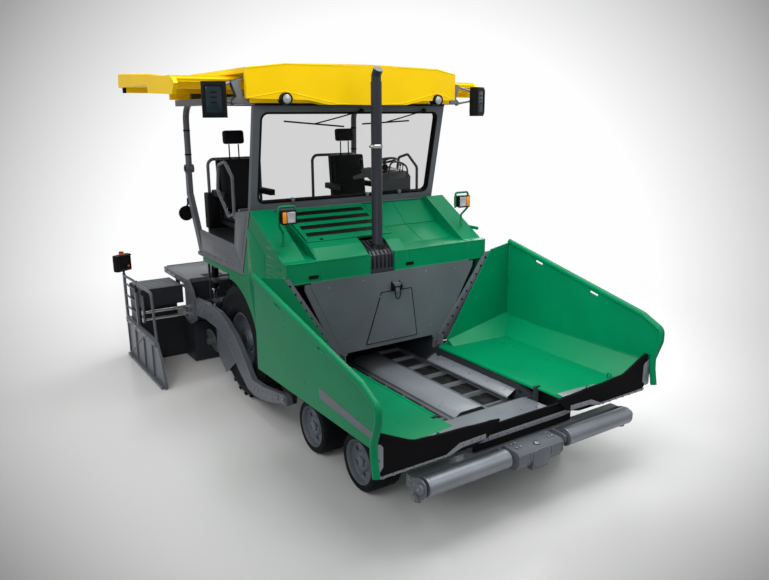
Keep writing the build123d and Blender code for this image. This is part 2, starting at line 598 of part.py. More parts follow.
def roof_shell():
    """Moulded roof: crowned top, drooping front fascia, open sides for the canopies."""
    back, front = ROOF_X
    half, eave = ROOF_HALF, ROOF_TOP - 100
    top = [(-half, eave), (-half, eave + 50), (-900, ROOF_TOP - 10), (0, ROOF_TOP), (900, ROOF_TOP - 10),
           (half, eave + 50), (half, eave), (0, eave + 20)]
    shell = slab_x(top, back, front)
    fascia = [(-half, eave), (-half, 3400), (-700, 3385), (-480, 3342), (480, 3342), (700, 3385),
              (half, 3400), (half, eave), (0, eave + 21)]
    shell += slab_x(fascia, 200, front)
    for s in (-1, 1):
        shell -= rod_x(s * HEADLIGHT_Y, HEADLIGHT_Z, 62, front - 140, front + 20)
    rear = [(-half, eave), (-half, 3430), (half, 3430), (half, eave), (0, eave + 21)]
    shell += slab_x(rear, back, back + 40)
    plan = [(back, -half), (250, -half), (366, -HEADLIGHT_Y), (440, -400), (front, 0), (440, 400),
            (366, HEADLIGHT_Y), (250, half), (back, half)]
    shell = shell & slab_z(plan, 3300, ROOF_TOP + 60)
    shell += box(190, 205, -ROOF_RAIL_Y[1], ROOF_RAIL_Y[1], 3360, eave + 10)
    return shell


def canopy():
    """Sliding side canopy (right side): panel, outer fascia and two rails."""
    panel = box(-2130, -140, -CANOPY_OUT, -1180, 3560, 3620)
    fascia = [(-2130, 3597), (-2110, 3711), (-910, 3658), (-90, 3596), (-20, 3543), (-117, 3440),
              (-918, 3470), (-940, 3559)]
    panel += slab_y(fascia, -CANOPY_OUT, -CANOPY_OUT + 40)
    for x in CANOPY_RAILS_X:
        panel += box(x - 20, x + 20, -CANOPY_OUT + 5, -700, CANOPY_RAIL_Z, 3561)
    return panel


def mirrors():
    """Black mirror heads with their brackets at the roof's front corners."""
    y = -ROOF_RAIL_Y[1]
    head = Pos(260, y - 380, 3385) * Rot(0, 0, -25) * Box(100, 230, 330)
    head = fillet(head.edges().filter_by(Axis.Z), 30)
    web = slab_x([(y, 3352), (y, 3420), (y - 60, 3420), (y - 90, 3540), (y - 50, 3580), (y - 50, 3600),
                  (y - 180, 3560), (y - 125, 3420), (y - 180, 3372), (y - 180, 3352)], 120, 180)
    arm = bar((150, y - 160, 3362), (255, y - 340, 3400), 10)
    arm += bar((150, y - 160, 3555), (255, y - 340, 3490), 10)
    return both(head + arm + web)


def lamps():
    """Roof headlights and the work lamps on their hoops."""
    roof = rod_x(-HEADLIGHT_Y, HEADLIGHT_Z, 52, 310, 400)
    work = box(600, 690, -BODY_HALF + 72, -BODY_HALF + 228, 2215, 2345)
    work = fillet(work.edges().filter_by(Axis.X), 20)
    return both(roof + work)


# ---------------------------------------------------------------- operator's seats and console
def seat_frame():
    """Seat shell with armrests and headrest stalks, turning on the platform's post."""
    x, y = SEAT_X, -SEAT_Y
    frame = box(x - 250, x + 250, y - 240, y + 240, 1960, 2010)
    frame += rod_z(x, y, 90, SEAT_POST_TOP + SEAT_GAP, 1960)
    frame -= rod_z(x, y, SEAT_PIN_R + RUN_GAP, SEAT_POST_TOP - 10, SEAT_POST_TOP + 55)
    frame += slab_y([(x - 300, 1960), (x - 250, 1960), (x - 250, 2010), (x - 330, 2720), (x - 370, 2720),
                     (x - 310, 1960)], y - 230, y + 230)
    for s in (-1, 1):
        frame += bar((x - 345, y + s * 60, 2700), (x - 350, y + s * 60, 2900), 8)
        frame += box(x - 330, x + 80, y + s * 262, y + s * 322, 2300, 2350)
        frame += box(x - 330, x - 270, y + s * 225, y + s * 262, 2280, 2350)
    return frame


def seat_cushions():
    """Seat pad, back pad and headrest."""
    x, y = SEAT_X, -SEAT_Y
    pad = box(x - 240, x + 260, y - 230, y + 230, 2010.3, 2130)
    pad = fillet(pad.edges().filter_by(Axis.Z), 40)
    outline = [(x - 263, 2130.3), (x - 130, 2130.3), (x - 200, 2740), (x - 331.3, 2740)]
    back = slab_y(outline, y - 220, y + 220)
    head = box(x - 400, x - 300, y - 130, y + 130, 2900.3, 3065)
    head = fillet(head.edges().filter_by(Axis.X), 30)
    return Compound(children=[pad.solids()[0], back.solids()[0], head.solids()[0]])


def operator_console():
    """Sliding operator's console with its slanted desk and small steering wheel."""
    y = SEAT_Y
    desk = [(-420, CONSOLE_Z), (-420, 2440), (-700, 2560), (-660, 2600), (-250, 2560), (-180, 2500),
            (-180, CONSOLE_Z)]
    body = slab_y(desk, y - 190, y + 190)
    rest = [(-900, 2440), (-900, 2480), (-660, 2545), (-600, 2545), (-600, 2490), (-650, 2480)]
    body += slab_y(rest, y - 190, y - 120)
    hub = Pos(-470, y, 2690) * Rot(0, -15, 0)
    wheel = hub * Torus(150, 14)
    spokes = hub * Box(290, 24, 14)
    column = hub * Pos(0, 0, -60) * Cylinder(22, 130)
    return body + wheel + spokes + column


# ---------------------------------------------------------------- screed
def auger():
    """One spreading auger: shaft with a stack of pitched blades."""
    shaft = rod_y(AUGER_X, AUGER_Z, 40, -60 - SEAT_GAP, -1170)
    for k in range(9):
        y = -135 - 120 * k
        shaft += Pos(AUGER_X, y, AUGER_Z) * Rot(90 + 14, 0, 0) * Cylinder(AUGER_R, 16)
    return shaft


def tow_arms():
    """S-shaped tow arms with the screed's side plates and the lower shields."""
    inner, outer = ARM_Y
    upper = [(-1900, 930), (-1500, 960), (-1230, 956), (-1010, 948), (-808, 895), (-546, 770), (-277, 560),
             (-120, 410), (-74, 385), (197, 396), (650, 470)]
    lower = [(650, 372), (560, 330), (129, 235), (-60, 215), (-228, 240), (-474, 392), (-784, 622),
             (-1063, 722), (-1476, 745), (-1900, 700)]
    arm = slab_y(upper + lower, -outer, -inner)
    arm += rod_y(TOW_PIN_X, TOW_PIN_Z, 62, -outer, -inner)
    arm += slab_y([(600, 372), (600, 466), (TOW_PIN_X, 488), (TOW_PIN_X, 372)], -outer, -inner)
    arm -= rod_y(TOW_PIN_X, TOW_PIN_Z, TOW_PIN_R + RUN_GAP, -outer - 5, -inner + 5)
    back, front = SCREED_X
    beam_back = front - 20 - BEAM_T
    deck_low = SCREED_TOP - 80
    outline = [(-1850, 640), (-1850, 930), (-1900, 1020), (-2060, SCREED_TOP), (back, SCREED_TOP),
               (back, deck_low), (beam_back, deck_low), (beam_back, 560), (-2000, 560)]
    plate = slab_y(outline, -outer - 24, -SCREED_HALF - 1)
    for z in GUIDE_Z:
        plate -= rod_y(front - 20 - BEAM_T / 2, z, GUIDE_R + RUN_GAP, -outer - 40, -SCREED_HALF + 10)
    arm += plate
    shield = [(-1300, 760), (-1080, 730), (-760, 620), (-720, 380), (-1050, 160), (-1300, 360)]
    arm += slab_y(shield, -inner, -inner + 8)
    return both(arm)


def screed_body():
    """Basic screed: heated plate box, cross frame and cylinder brackets."""
    back, front = SCREED_X
    half = SCREED_HALF - 5
    body = box(front - SCREED_DEPTH, front, -half, half, 10, 560)
    body = chamfer(body.edges().filter_by(Axis.Y).group_by(Axis.Z)[0], 30)
    body += box(front - 20 - BEAM_T, front - 20, -half, half, 560, SCREED_TOP - 50)
    for z in GUIDE_Z:
        body -= rod_y(front - 20 - BEAM_T / 2, z, GUIDE_R + RUN_GAP, -half - 5, half + 5)
    body += box(back + 300, front - 20 - BEAM_T, -80, 80, 580, SCREED_TOP - 50)
    lug_y = ARM_Y[0] - 10
    eye_x, eye_z = LIFT_EYE
    body += box(front - 20, front + 170, -lug_y, lug_y, 700, 860)
    for s in (-1, 1):
        body += box(front - 20, eye_x + 40, s * (LIFT_Y - 75), s * (LIFT_Y - 45), eye_z - 60, 720)
        body += rod_y(eye_x, eye_z, LIFT_PIN_R, s * (LIFT_Y - 46), s * (LIFT_Y + 34))
        body += box(front - 20, front + 150, s * lug_y, s * (ARM_Y[0] - SEAT_GAP), 700, 930)
    return body


def screed_deck():
    """Tread walkway along the top of the screed."""
    back, front = SCREED_X
    return box(back, front - 40, -SCREED_HALF, SCREED_HALF, SCREED_TOP - 50, SCREED_TOP)


def extension():
    """Extending screed (right side): guide tubes and the dark box with its own plate."""
    rear = SCREED_X[1] - SCREED_DEPTH - 20
    block = box(rear - 390, rear, -EXT_OUT, -EXT_INNER, 10, 560)
    inner = SCREED_HALF + 60
    block += box(rear - 290, rear - 30, -EXT_OUT, -inner, 560, 820)
    block += box(rear - 290, SCREED_X[1] - 30 - BEAM_T, -EXT_OUT, -inner, 820, 1050)
    tube_x = SCREED_X[1] - 20 - BEAM_T / 2
    block += box(tube_x - 90, tube_x + 40, -EXT_OUT, -EXT_OUT + 15, GUIDE_Z[0] - 40, 1000)
    for z in GUIDE_Z:
        block += rod_y(tube_x, z, GUIDE_R, -EXT_OUT + 1, -EXT_INNER)
    return block


def end_gate():
    """End gate plate with its skid, posts and handrail."""
    y0 = -EXT_OUT
    y1 = y0 - 30
    outline = [(-2930, 60), (-2960, 560), (-1560, 560), (-1420, 380), (-1270, 60), (-1300, 5), (-2880, 5)]
    gate = slab_y(outline, y1, y0)
    gate += box(-2880, -1330, y1 - 40, y0, 5, 40)
    gate += box(-2960, -2900, y1, y0, 560, 1150)
    gate += box(-2400, -2350, y1, y0, 560, 1000)
    y = y1 + 15
    path = [(-2900, y, 1120), (-2500, y, 1140), (-1640, y, 1140), (-1560, y, 600), (-1560, y, 540)]
    return gate + tube(path, 70, 17)


def remote_box():
    """Remote control box with its beacon on the end gate's rear post."""
    y = -EXT_OUT - 15
    body = Pos(-2930, y - 10, 1300) * Rot(0, 0, 30) * Box(90, 250, 220)
    body = fillet(body.edges().filter_by(Axis.Z), 20)
    return body + rod_z(-2930, y, 14, 1150, 1210) + rod_z(-2930, y - 10, 32, 1400, 1450)


def lift_barrel():
    """Cylinder barrel of the screed lift, hung from the frame's pin."""
    top, eye = Vector(LIFT_TOP[0], -LIFT_Y, LIFT_TOP[1]), Vector(LIFT_EYE[0], -LIFT_Y, LIFT_EYE[1])
    d = (eye - top).normalized()
    barrel = bar(tuple(top + d * 40), tuple(top + d * 440), 45)
    barrel += rod_y(top.X, top.Z, 42, -LIFT_Y - 30, -LIFT_Y + 30)
    barrel -= rod_y(top.X, top.Z, LIFT_PIN_R + RUN_GAP, -LIFT_Y - 40, -LIFT_Y + 40)
    return barrel - bar(tuple(top + d * 80), tuple(top + d * 445), 22 + RUN_GAP)


def lift_rod():
    """Piston rod of the screed lift with the eye around the screed's pin."""
    top, eye = Vector(LIFT_TOP[0], -LIFT_Y, LIFT_TOP[1]), Vector(LIFT_EYE[0], -LIFT_Y, LIFT_EYE[1])
    d = (eye - top).normalized()
    rod = bar(tuple(top + d * 420), tuple(eye - d * 30), 22)
    rod += rod_y(eye.X, eye.Z, 42, -LIFT_Y - 30, -LIFT_Y + 30)
    return rod - rod_y(eye.X, eye.Z, LIFT_PIN_R + LIFT_EYE_GAP, -LIFT_Y - 40, -LIFT_Y + 40)


# section of the rear rim, (radius, offset along the axle; outboard is negative)
RIM_SECTION = [
    (REAR_RIM_R - 14, -150), (REAR_RIM_R - SEAT_GAP, -134), (REAR_RIM_R - SEAT_GAP, 134),
    (REAR_RIM_R - 14, 150), (REAR_RIM_R - 26, 136), (REAR_RIM_R - 40, 60), (REAR_RIM_R - 60, 10),
    (REAR_RIM_R - 80, -20), (150, -20), (150, 60), (70 + RUN_GAP, 60), (70 + RUN_GAP, -50), (0, -50),
    (0, -100), (110, -100), (130, -60), (180, -50), (REAR_RIM_R - 80, -50), (REAR_RIM_R - 50, -70),
    (REAR_RIM_R - 26, -136),
]


save(main_frame(), "main_frame")
save(conveyor_flights(), "conveyor_flights")
save_pair(rear_tyre(), "rear_tyre")
save_pair(rear_rim(), "rear_rim")
for label, axle_x in zip(("rear", "front"), FRONT_AXLES_X):
    save_pair(front_wheel(axle_x), f"small_wheel_{label}")
    save_pair(knuckle(axle_x), f"knuckle_{label}")
save(hopper_rear_plate(), "hopper_rear_plate")
save_pair(hopper_wing(), "hopper_wing")
save_pair(wing_flap(), "wing_flap")
save(front_apron(), "front_apron")
save(apron_flap(), "apron_flap")
save(push_beam(), "push_beam")
save_pair(push_roller(), "push_roller")
save(engine_block(), "engine_block")
save(body_shell(), "body_shell")
save(hood_lid(), "hood_lid")
save(exhaust_stack(), "exhaust_stack")
save(operator_platform(), "operator_platform")
side_rails, rear_rails = handrails()
save(Compound(children=[*side_rails.solids(), *rear_rails.solids()]), "handrails")
screen_frame, screen_glass = windscreen_frame()
save(screen_frame, "windscreen_frame")
save(screen_glass, "windscreen_glass")
save(roof_frame(), "roof_frame")
save(roof_shell(), "roof_shell")
save_pair(canopy(), "canopy")
save(mirrors(), "mirrors")
save(lamps(), "lamps")
save_pair(seat_frame(), "seat_frame")
save_pair(seat_cushions(), "seat_cushions")
save(operator_console(), "operator_console")
save_pair(auger(), "auger")
save(tow_arms(), "tow_arms")
save(screed_body(), "screed_body")
save(screed_deck(), "screed_deck")
save_pair(extension(), "extension")
save_pair(end_gate(), "end_gate")
save_pair(remote_box(), "remote_box")
save_pair(lift_barrel(), "lift_barrel")
save_pair(lift_rod(), "lift_rod")
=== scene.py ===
"""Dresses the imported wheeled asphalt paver: finishes, fine parts, studio and camera.

All sizes are metres in the frame's own axes: +X to the hopper, +Y to the machine's left, +Z up.
"""

import json
import logging
import math
from dataclasses import dataclass
from enum import Enum
from typing import Callable, ClassVar, Sequence

import bpy
from mathutils import Matrix, Vector

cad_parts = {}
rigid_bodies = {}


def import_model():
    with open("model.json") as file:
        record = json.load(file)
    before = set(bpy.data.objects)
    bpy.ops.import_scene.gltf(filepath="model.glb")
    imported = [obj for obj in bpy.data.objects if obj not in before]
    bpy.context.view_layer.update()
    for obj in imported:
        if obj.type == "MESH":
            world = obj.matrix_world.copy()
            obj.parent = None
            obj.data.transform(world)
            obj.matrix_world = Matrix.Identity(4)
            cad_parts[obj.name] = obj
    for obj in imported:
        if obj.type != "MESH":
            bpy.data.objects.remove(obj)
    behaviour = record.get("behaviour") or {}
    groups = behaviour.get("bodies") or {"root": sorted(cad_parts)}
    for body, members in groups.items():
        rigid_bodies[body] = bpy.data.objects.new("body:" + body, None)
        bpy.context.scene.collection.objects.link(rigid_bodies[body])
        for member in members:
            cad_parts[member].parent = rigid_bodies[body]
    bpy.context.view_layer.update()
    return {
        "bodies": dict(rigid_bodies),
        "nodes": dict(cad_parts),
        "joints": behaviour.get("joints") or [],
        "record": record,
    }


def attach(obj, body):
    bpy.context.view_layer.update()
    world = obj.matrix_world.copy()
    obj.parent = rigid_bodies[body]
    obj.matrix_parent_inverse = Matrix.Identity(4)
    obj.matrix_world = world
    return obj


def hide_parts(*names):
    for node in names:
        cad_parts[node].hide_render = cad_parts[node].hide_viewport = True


Point = tuple[float, float, float]
Flat = tuple[float, float]
Piece = bpy.types.Object
Tree = bpy.types.NodeTree
Node = bpy.types.Node
Socket = bpy.types.NodeSocket
LOG = logging.getLogger("paver")
SIDES = {"right": -1.0, "left": 1.0}
FORWARD, BACKWARD = (1.0, 0.0, 0.0), (-1.0, 0.0, 0.0)
RIGHTWARD, UPWARD = (0.0, -1.0, 0.0), (0.0, 0.0, 1.0)
MIX_COLOURS = (6, 7, 2)  # A, B and Result of a Mix node that blends colours
MIX_NUMBERS = (2, 3, 0)  # the same for plain numbers
DUST = (0.16, 0.155, 0.15, 1.0)


# ---------------------- finishes
def node(tree: Tree, kind: str, inputs: dict[str | int, object] | None = None, **settings: object) -> Node:
    """Adds a node with its settings, values and links.

    Args:
        tree: The nodes it joins.
        kind: Its type.
        inputs: A value or a socket for each of its inputs, by name or number.
        settings: Its other settings.

    Returns:
        The node.
    """
    made = tree.nodes.new(kind)
    for name, value in settings.items():
        setattr(made, name, value)
    for name, value in (inputs or {}).items():
        if isinstance(value, Socket):
            tree.links.new(value, made.inputs[name])
        else:
            made.inputs[name].default_value = value
    return made


class Surface(Enum):
    """How the top of a finish is worked."""

    PAINT = "paint"
    CAST = "cast"
    BRUSHED = "brushed"
    RUBBER = "rubber"
    PLASTIC = "plastic"
    CLOTH = "cloth"
    CLEAR = "clear"


@dataclass(frozen=True)
class Finish:
    """One finish of the machine, made as a node material on Object coordinates."""

    name: str
    slot: str
    colour: Point
    surface: Surface
    rough: float
    metal: float = 0.0
    coat: float = 0.0
    gloss: float = 0.5
    bump: float = 0.1
    grain: float = 300.0
    shade: float = 0.12
    dust: float = 0.0
    glow: float = 0.0
    alpha: float = 1.0

    def material(self) -> bpy.types.Material:
        """The material of this finish, made once.

        Returns:
            The node material.
        """
        found = bpy.data.materials.get(self.name)
        if found is not None:
            return found
        made = bpy.data.materials.new(self.name)
        made.use_nodes = True
        tree = made.node_tree
        shader = tree.nodes["Principled BSDF"]
        shader.inputs["Metallic"].default_value = self.metal
        shader.inputs["Specular IOR Level"].default_value = self.gloss
        shader.inputs["Coat Weight"].default_value = self.coat
        shader.inputs["Coat Roughness"].default_value = 0.06
        # A glow is painted light: the finish shines a little of its own colour, though the part is no lamp.
        if self.glow > 0.0:
            shader.inputs["Emission Color"].default_value = (*self.colour, 1.0)
            shader.inputs["Emission Strength"].default_value = self.glow
        place = node(tree, "ShaderNodeTexCoord").outputs["Object"]
        self._tone(tree, shader, place)
        self._relief(tree, shader, place)
        if self.surface is Surface.CLEAR:
            shader.inputs["Alpha"].default_value = self.alpha
            made.surface_render_method = "BLENDED"
        made.diffuse_color = (*self.colour, 1.0)
        return made

    def _tone(self, tree: Tree, shader: Node, place: Socket) -> None:
        """Colour and roughness that drift a little over the surface, with dust in patches.

        Args:
            tree: The material's nodes.
            shader: Its surface shader.
            place: Its Object coordinates.
        """
        wide = node(tree, "ShaderNodeTexNoise", {"Vector": place, "Scale": 2.3, "Detail": 4.0})
        ramp = node(tree, "ShaderNodeValToRGB", {"Fac": wide.outputs["Fac"]})
        low = tuple(channel * (1.0 - self.shade) for channel in self.colour)
        high = tuple(min(channel * (1.0 + self.shade * 0.5), 1.0) for channel in self.colour)
        for stop, position, colour in zip(ramp.color_ramp.elements, (0.3, 0.7), (low, high)):
            stop.position, stop.color = position, (*colour, 1.0)
        colour = ramp.outputs["Color"]
        fine = node(tree, "ShaderNodeTexNoise", {
            "Vector": place, "Scale": 14.0, "Detail": 6.0}).outputs["Fac"]
        if self.dust > 0.0:
            patch = node(tree, "ShaderNodeMapRange", {
                "Value": fine, "From Min": 0.45, "From Max": 0.75, "To Max": self.dust})
            below, above, result = MIX_COLOURS
            blend = node(tree, "ShaderNodeMix", {
                "Factor": patch.outputs["Result"], below: colour, above: DUST}, data_type="RGBA")
            colour = blend.outputs[result]
        tree.links.new(colour, shader.inputs["Base Color"])
        span = node(tree, "ShaderNodeMapRange", {
            "Value": fine, "To Min": max(self.rough - 0.07, 0.02), "To Max": min(self.rough + 0.07, 1.0)})
        tree.links.new(span.outputs["Result"], shader.inputs["Roughness"])

    def _relief(self, tree: Tree, shader: Node, place: Socket) -> None:
        """Fine relief of the surface: weave, brushing or grain.

        Args:
            tree: The material's nodes.
            shader: Its surface shader.
            place: Its Object coordinates.
        """
        if self.surface is Surface.CLOTH:
            source = node(tree, "ShaderNodeTexWave", {
                "Vector": place, "Scale": self.grain, "Distortion": 2.0, "Detail": 2.0})
        elif self.surface is Surface.BRUSHED:
            squeeze = node(tree, "ShaderNodeMapping", {"Vector": place, "Scale": (1.0, 0.05, 1.0)})
            source = node(tree, "ShaderNodeTexNoise", {
                "Vector": squeeze.outputs["Vector"], "Scale": self.grain})
        else:
            source = node(tree, "ShaderNodeTexNoise", {"Vector": place, "Scale": self.grain, "Detail": 3.0})
        bump = node(tree, "ShaderNodeBump", {
            "Height": source.outputs["Fac"], "Strength": self.bump, "Distance": 0.001})
        tree.links.new(bump.outputs["Normal"], shader.inputs["Normal"])


GREEN = Finish("green_lacquer", "green_paint", (0.0, 0.198, 0.079), Surface.PAINT, 0.3, coat=0.02, gloss=0.13,
               bump=0.03, shade=0.1)
# The yellow moulding carries a faint glow: painted light that brightens it, though it is no lamp.
YELLOW = Finish("yellow_moulding", "roof_yellow", (1.0, 0.64, 0.002), Surface.PLASTIC, 0.42, gloss=0.12,
                bump=0.03, shade=0.05, glow=0.09)
GREY = Finish("slate_lacquer", "grey_paint", (0.112, 0.123, 0.141), Surface.PAINT, 0.36, coat=0.05, gloss=0.3,
              bump=0.05)
LIGHT = Finish("pale_lacquer", "grey_paint", (0.19, 0.205, 0.23), Surface.PAINT, 0.3, coat=0.15, bump=0.05)
DARK = Finish("anthracite_lacquer", "dark_grey_paint", (0.027, 0.03, 0.036), Surface.PAINT, 0.42, gloss=0.2,
              bump=0.06)
BLACK = Finish("black_lacquer", "black_paint", (0.004, 0.0045, 0.005), Surface.PAINT, 0.4, gloss=0.12,
               bump=0.05)
TYRE = Finish("treaded_rubber", "tyre_rubber", (0.006, 0.007, 0.009), Surface.RUBBER, 0.62, gloss=0.1,
              bump=0.25, grain=160.0, dust=0.03)
FLAP = Finish("matt_rubber", "flap_rubber", (0.006, 0.006, 0.007), Surface.RUBBER, 0.75, gloss=0.06, bump=0.2,
              grain=220.0)
PAD = Finish("conveyor_rubber", "flap_rubber", (0.008, 0.009, 0.009), Surface.RUBBER, 0.7, gloss=0.1,
             bump=0.5, grain=90.0, dust=0.1)
WHEEL = Finish("wheel_lacquer", "wheel_paint", (0.115, 0.132, 0.158), Surface.PAINT, 0.4, coat=0.05,
               gloss=0.3, bump=0.06, dust=0.05)
STEEL = Finish("ground_steel", "bare_steel", (0.24, 0.26, 0.29), Surface.BRUSHED, 0.42, metal=0.8, bump=0.08,
               grain=420.0)
WORN = Finish("worn_plate_steel", "bare_steel", (0.17, 0.182, 0.2), Surface.BRUSHED, 0.36, metal=0.5,
              bump=0.12, grain=260.0, shade=0.3)
ZINC = Finish("zinc_fastener", "bare_steel", (0.3, 0.31, 0.33), Surface.BRUSHED, 0.34, metal=0.9, bump=0.05)
CHROME = Finish("chromed_rod", "bare_steel", (0.66, 0.67, 0.69), Surface.BRUSHED, 0.12, metal=1.0, bump=0.01)
CAST = Finish("cast_iron", "cast_block", (0.03, 0.033, 0.038), Surface.CAST, 0.62, metal=0.2, bump=0.45,
              grain=120.0)
STACK = Finish("stack_enamel", "exhaust_steel", (0.027, 0.029, 0.04), Surface.PAINT, 0.3, coat=0.1, gloss=0.3,
               bump=0.06)
GLASS = Finish("clear_screen", "screen_glass", (0.01, 0.01, 0.01), Surface.CLEAR, 0.03, bump=0.0, shade=0.02,
               gloss=0.2, alpha=0.19)
LENS = Finish("lamp_glass", "screen_glass", (0.52, 0.54, 0.57), Surface.PLASTIC, 0.08, metal=0.35, coat=0.8,
              bump=0.35, grain=70.0, shade=0.25)
AMBER = Finish("amber_lens", "roof_yellow", (0.9, 0.3, 0.006), Surface.PLASTIC, 0.12, coat=0.5, bump=0.25,
               grain=90.0)
RED = Finish("red_lens", "black_plastic", (0.55, 0.01, 0.01), Surface.PLASTIC, 0.15, coat=0.5, bump=0.25,
             grain=90.0)
ORANGE = Finish("orange_knob", "black_plastic", (0.85, 0.13, 0.01), Surface.PLASTIC, 0.3, coat=0.4)
MIRROR = Finish("mirror_glass", "screen_glass", (0.004, 0.016, 0.024), Surface.PLASTIC, 0.1, coat=0.15,
                gloss=0.3, bump=0.0, shade=0.4)
SEAT = Finish("seat_cloth", "seat_fabric", (0.01, 0.011, 0.013), Surface.CLOTH, 0.8, gloss=0.15, bump=0.35,
              grain=700.0)
PLASTIC = Finish("black_moulding", "black_plastic", (0.005, 0.0055, 0.006), Surface.PLASTIC, 0.45, gloss=0.14,
                 bump=0.15, grain=500.0)


# ---------------------- modelling with the operators
class Bench:
    """Makes one mesh at a time with the modelling operators, and leaves it at the origin."""

    AXES = {"X": Vector((1.0, 0.0, 0.0)), "Y": Vector((0.0, 1.0, 0.0)), "Z": Vector((0.0, 0.0, 1.0))}

    @staticmethod
    def clear() -> None:
        """Deselects everything."""
        bpy.ops.object.select_all(action="DESELECT")

    @classmethod
    def only(cls, piece: Piece) -> None:
        """Selects one piece alone and makes it active.

        Args:
            piece: The piece.
        """
        cls.clear()
        piece.select_set(True)
        bpy.context.view_layer.objects.active = piece

    @classmethod
    def settle(cls, piece: Piece, name: str) -> Piece:
        """Names a piece and applies its place, turn and scale.

        Args:
            piece: The piece.
            name: Its name.

        Returns:
            The piece.
        """
        cls.only(piece)
        piece.name = name
        bpy.ops.object.transform_apply(location=True, rotation=True, scale=True)
        return piece

    @classmethod
    def moved(cls, piece: Piece, place: Point, turn: Point = (0.0, 0.0, 0.0)) -> Piece:
        """Moves and turns a piece, and applies both."""
        piece.location, piece.rotation_euler = place, turn
        return cls.settle(piece, piece.name)

    @classmethod
    def edit(cls, piece: Piece, chosen: Callable[[bpy.types.MeshPolygon], bool] | None = None) -> None:
        """Enters edit mode with all or some faces selected.

        Args:
            piece: The piece.
            chosen: Says which faces are selected; None selects all.
        """
        cls.only(piece)
        bpy.ops.object.mode_set(mode="EDIT")
        bpy.ops.mesh.select_mode(type="FACE")
        bpy.ops.mesh.select_all(action="SELECT" if chosen is None else "DESELECT")
        if chosen is not None:
            bpy.ops.object.mode_set(mode="OBJECT")
            for face in piece.data.polygons:
                face.select = chosen(face)
            bpy.ops.object.mode_set(mode="EDIT")

    @staticmethod
    def done() -> None:
        """Turns all faces outwards and leaves edit mode."""
        bpy.ops.mesh.select_all(action="SELECT")
        bpy.ops.mesh.normals_make_consistent(inside=False)
        bpy.ops.object.mode_set(mode="OBJECT")

    @classmethod
    def framed(cls, piece: Piece, toward: Point, least: float, *insets: Flat) -> Piece:
        """Insets the large faces that look one way, once or more.

        Args:
            piece: The piece.
            toward: Where the faces look.
            least: Area that a face must have.
            insets: Width and depth of each inset.

        Returns:
            The piece.
        """
        way = Vector(toward)
        cls.edit(piece, lambda face: face.normal.dot(way) > 0.9 and face.area > least)
        for thickness, depth in insets:
            bpy.ops.mesh.inset(thickness=thickness, depth=depth)
        cls.done()
        return piece

    @classmethod
    def soften(cls, piece: Piece, width: float, steps: int = 2) -> Piece:
        """Rounds the sharp edges with an applied bevel.

        Args:
            piece: The piece.
            width: Width of the rounding.
            steps: Segments of the rounding.

        Returns:
            The piece.
        """
        cls.only(piece)
        bevel = piece.modifiers.new("edge", "BEVEL")
        bevel.width = width
        bevel.segments = steps
        bevel.limit_method = "ANGLE"
        bevel.angle_limit = math.radians(32.0)
        bpy.ops.object.modifier_apply(modifier=bevel.name)
        bpy.ops.object.shade_smooth_by_angle(angle=math.radians(35.0))
        return piece

    @classmethod
    def block(cls, name: str, low: Point, high: Point, edge: float = 0.003) -> Piece:
        """Block between two corners with rounded edges.

        Args:
            name: Name of the piece.
            low: One corner.
            high: The other corner.
            edge: Rounding of the edges.

        Returns:
            The piece.
        """
        cls.clear()
        middle = [(a + b) / 2.0 for a, b in zip(low, high)]
        bpy.ops.mesh.primitive_cube_add(size=1.0, location=middle)
        piece = bpy.context.object
        piece.scale = [abs(b - a) for a, b in zip(low, high)]
        return cls.soften(cls.settle(piece, name), edge)

    @classmethod
    def sheet(cls, name: str, outline: Sequence[Flat], axis: str, near: float, far: float,
              edge: float = 0.002) -> Piece:
        """Plate with a drawn outline, extruded along an axis.

        Args:
            name: Name of the piece.
            outline: Corners in the plane across the axis: (y, z), (x, z) or (x, y).
            axis: X, Y or Z.
            near: Start along the axis.
            far: End along the axis.
            edge: Rounding of the edges.

        Returns:
            The piece.
        """
        cls.clear()
        bpy.ops.mesh.primitive_circle_add(vertices=len(outline), fill_type="NGON")
        piece = bpy.context.object
        for corner, (a, b) in zip(piece.data.vertices, outline):
            corner.co = {"X": (near, a, b), "Y": (a, near, b), "Z": (a, b, near)}[axis]
        cls.edit(piece)
        bpy.ops.mesh.extrude_region_move(TRANSFORM_OT_translate={"value": cls.AXES[axis] * (far - near)})
        cls.done()
        piece.name = name
        return cls.soften(piece, edge) if edge > 0.0 else piece

    @classmethod
    def rod(cls, name: str, start: Point, end: Point, radius: float, edge: float = 0.002,
            sides: int = 28) -> Piece:
        """Round bar between two points with chamfered ends.

        Args:
            name: Name of the piece.
            start: One end.
            end: The other end.
            radius: Its radius.
            edge: Rounding of the ends.
            sides: Sides of the round.

        Returns:
            The piece.
        """
        cls.clear()
        a, b = Vector(start), Vector(end)
        bpy.ops.mesh.primitive_cylinder_add(
            vertices=sides, radius=radius, depth=(b - a).length, location=(a + b) / 2.0)
        piece = bpy.context.object
        piece.rotation_euler = (b - a).to_track_quat("Z", "Y").to_euler()
        return cls.soften(cls.settle(piece, name), edge)

    @classmethod
    def chain(cls, y: float, points: Sequence[Flat], radius: float, edge: float, sides: int) -> list[Piece]:
        """Round bars from point to point in a plane across Y."""
        return [cls.rod("edge", (a[0], y, a[1]), (b[0], y, b[1]), radius, edge, sides)
                for a, b in zip(points[:-1], points[1:])]

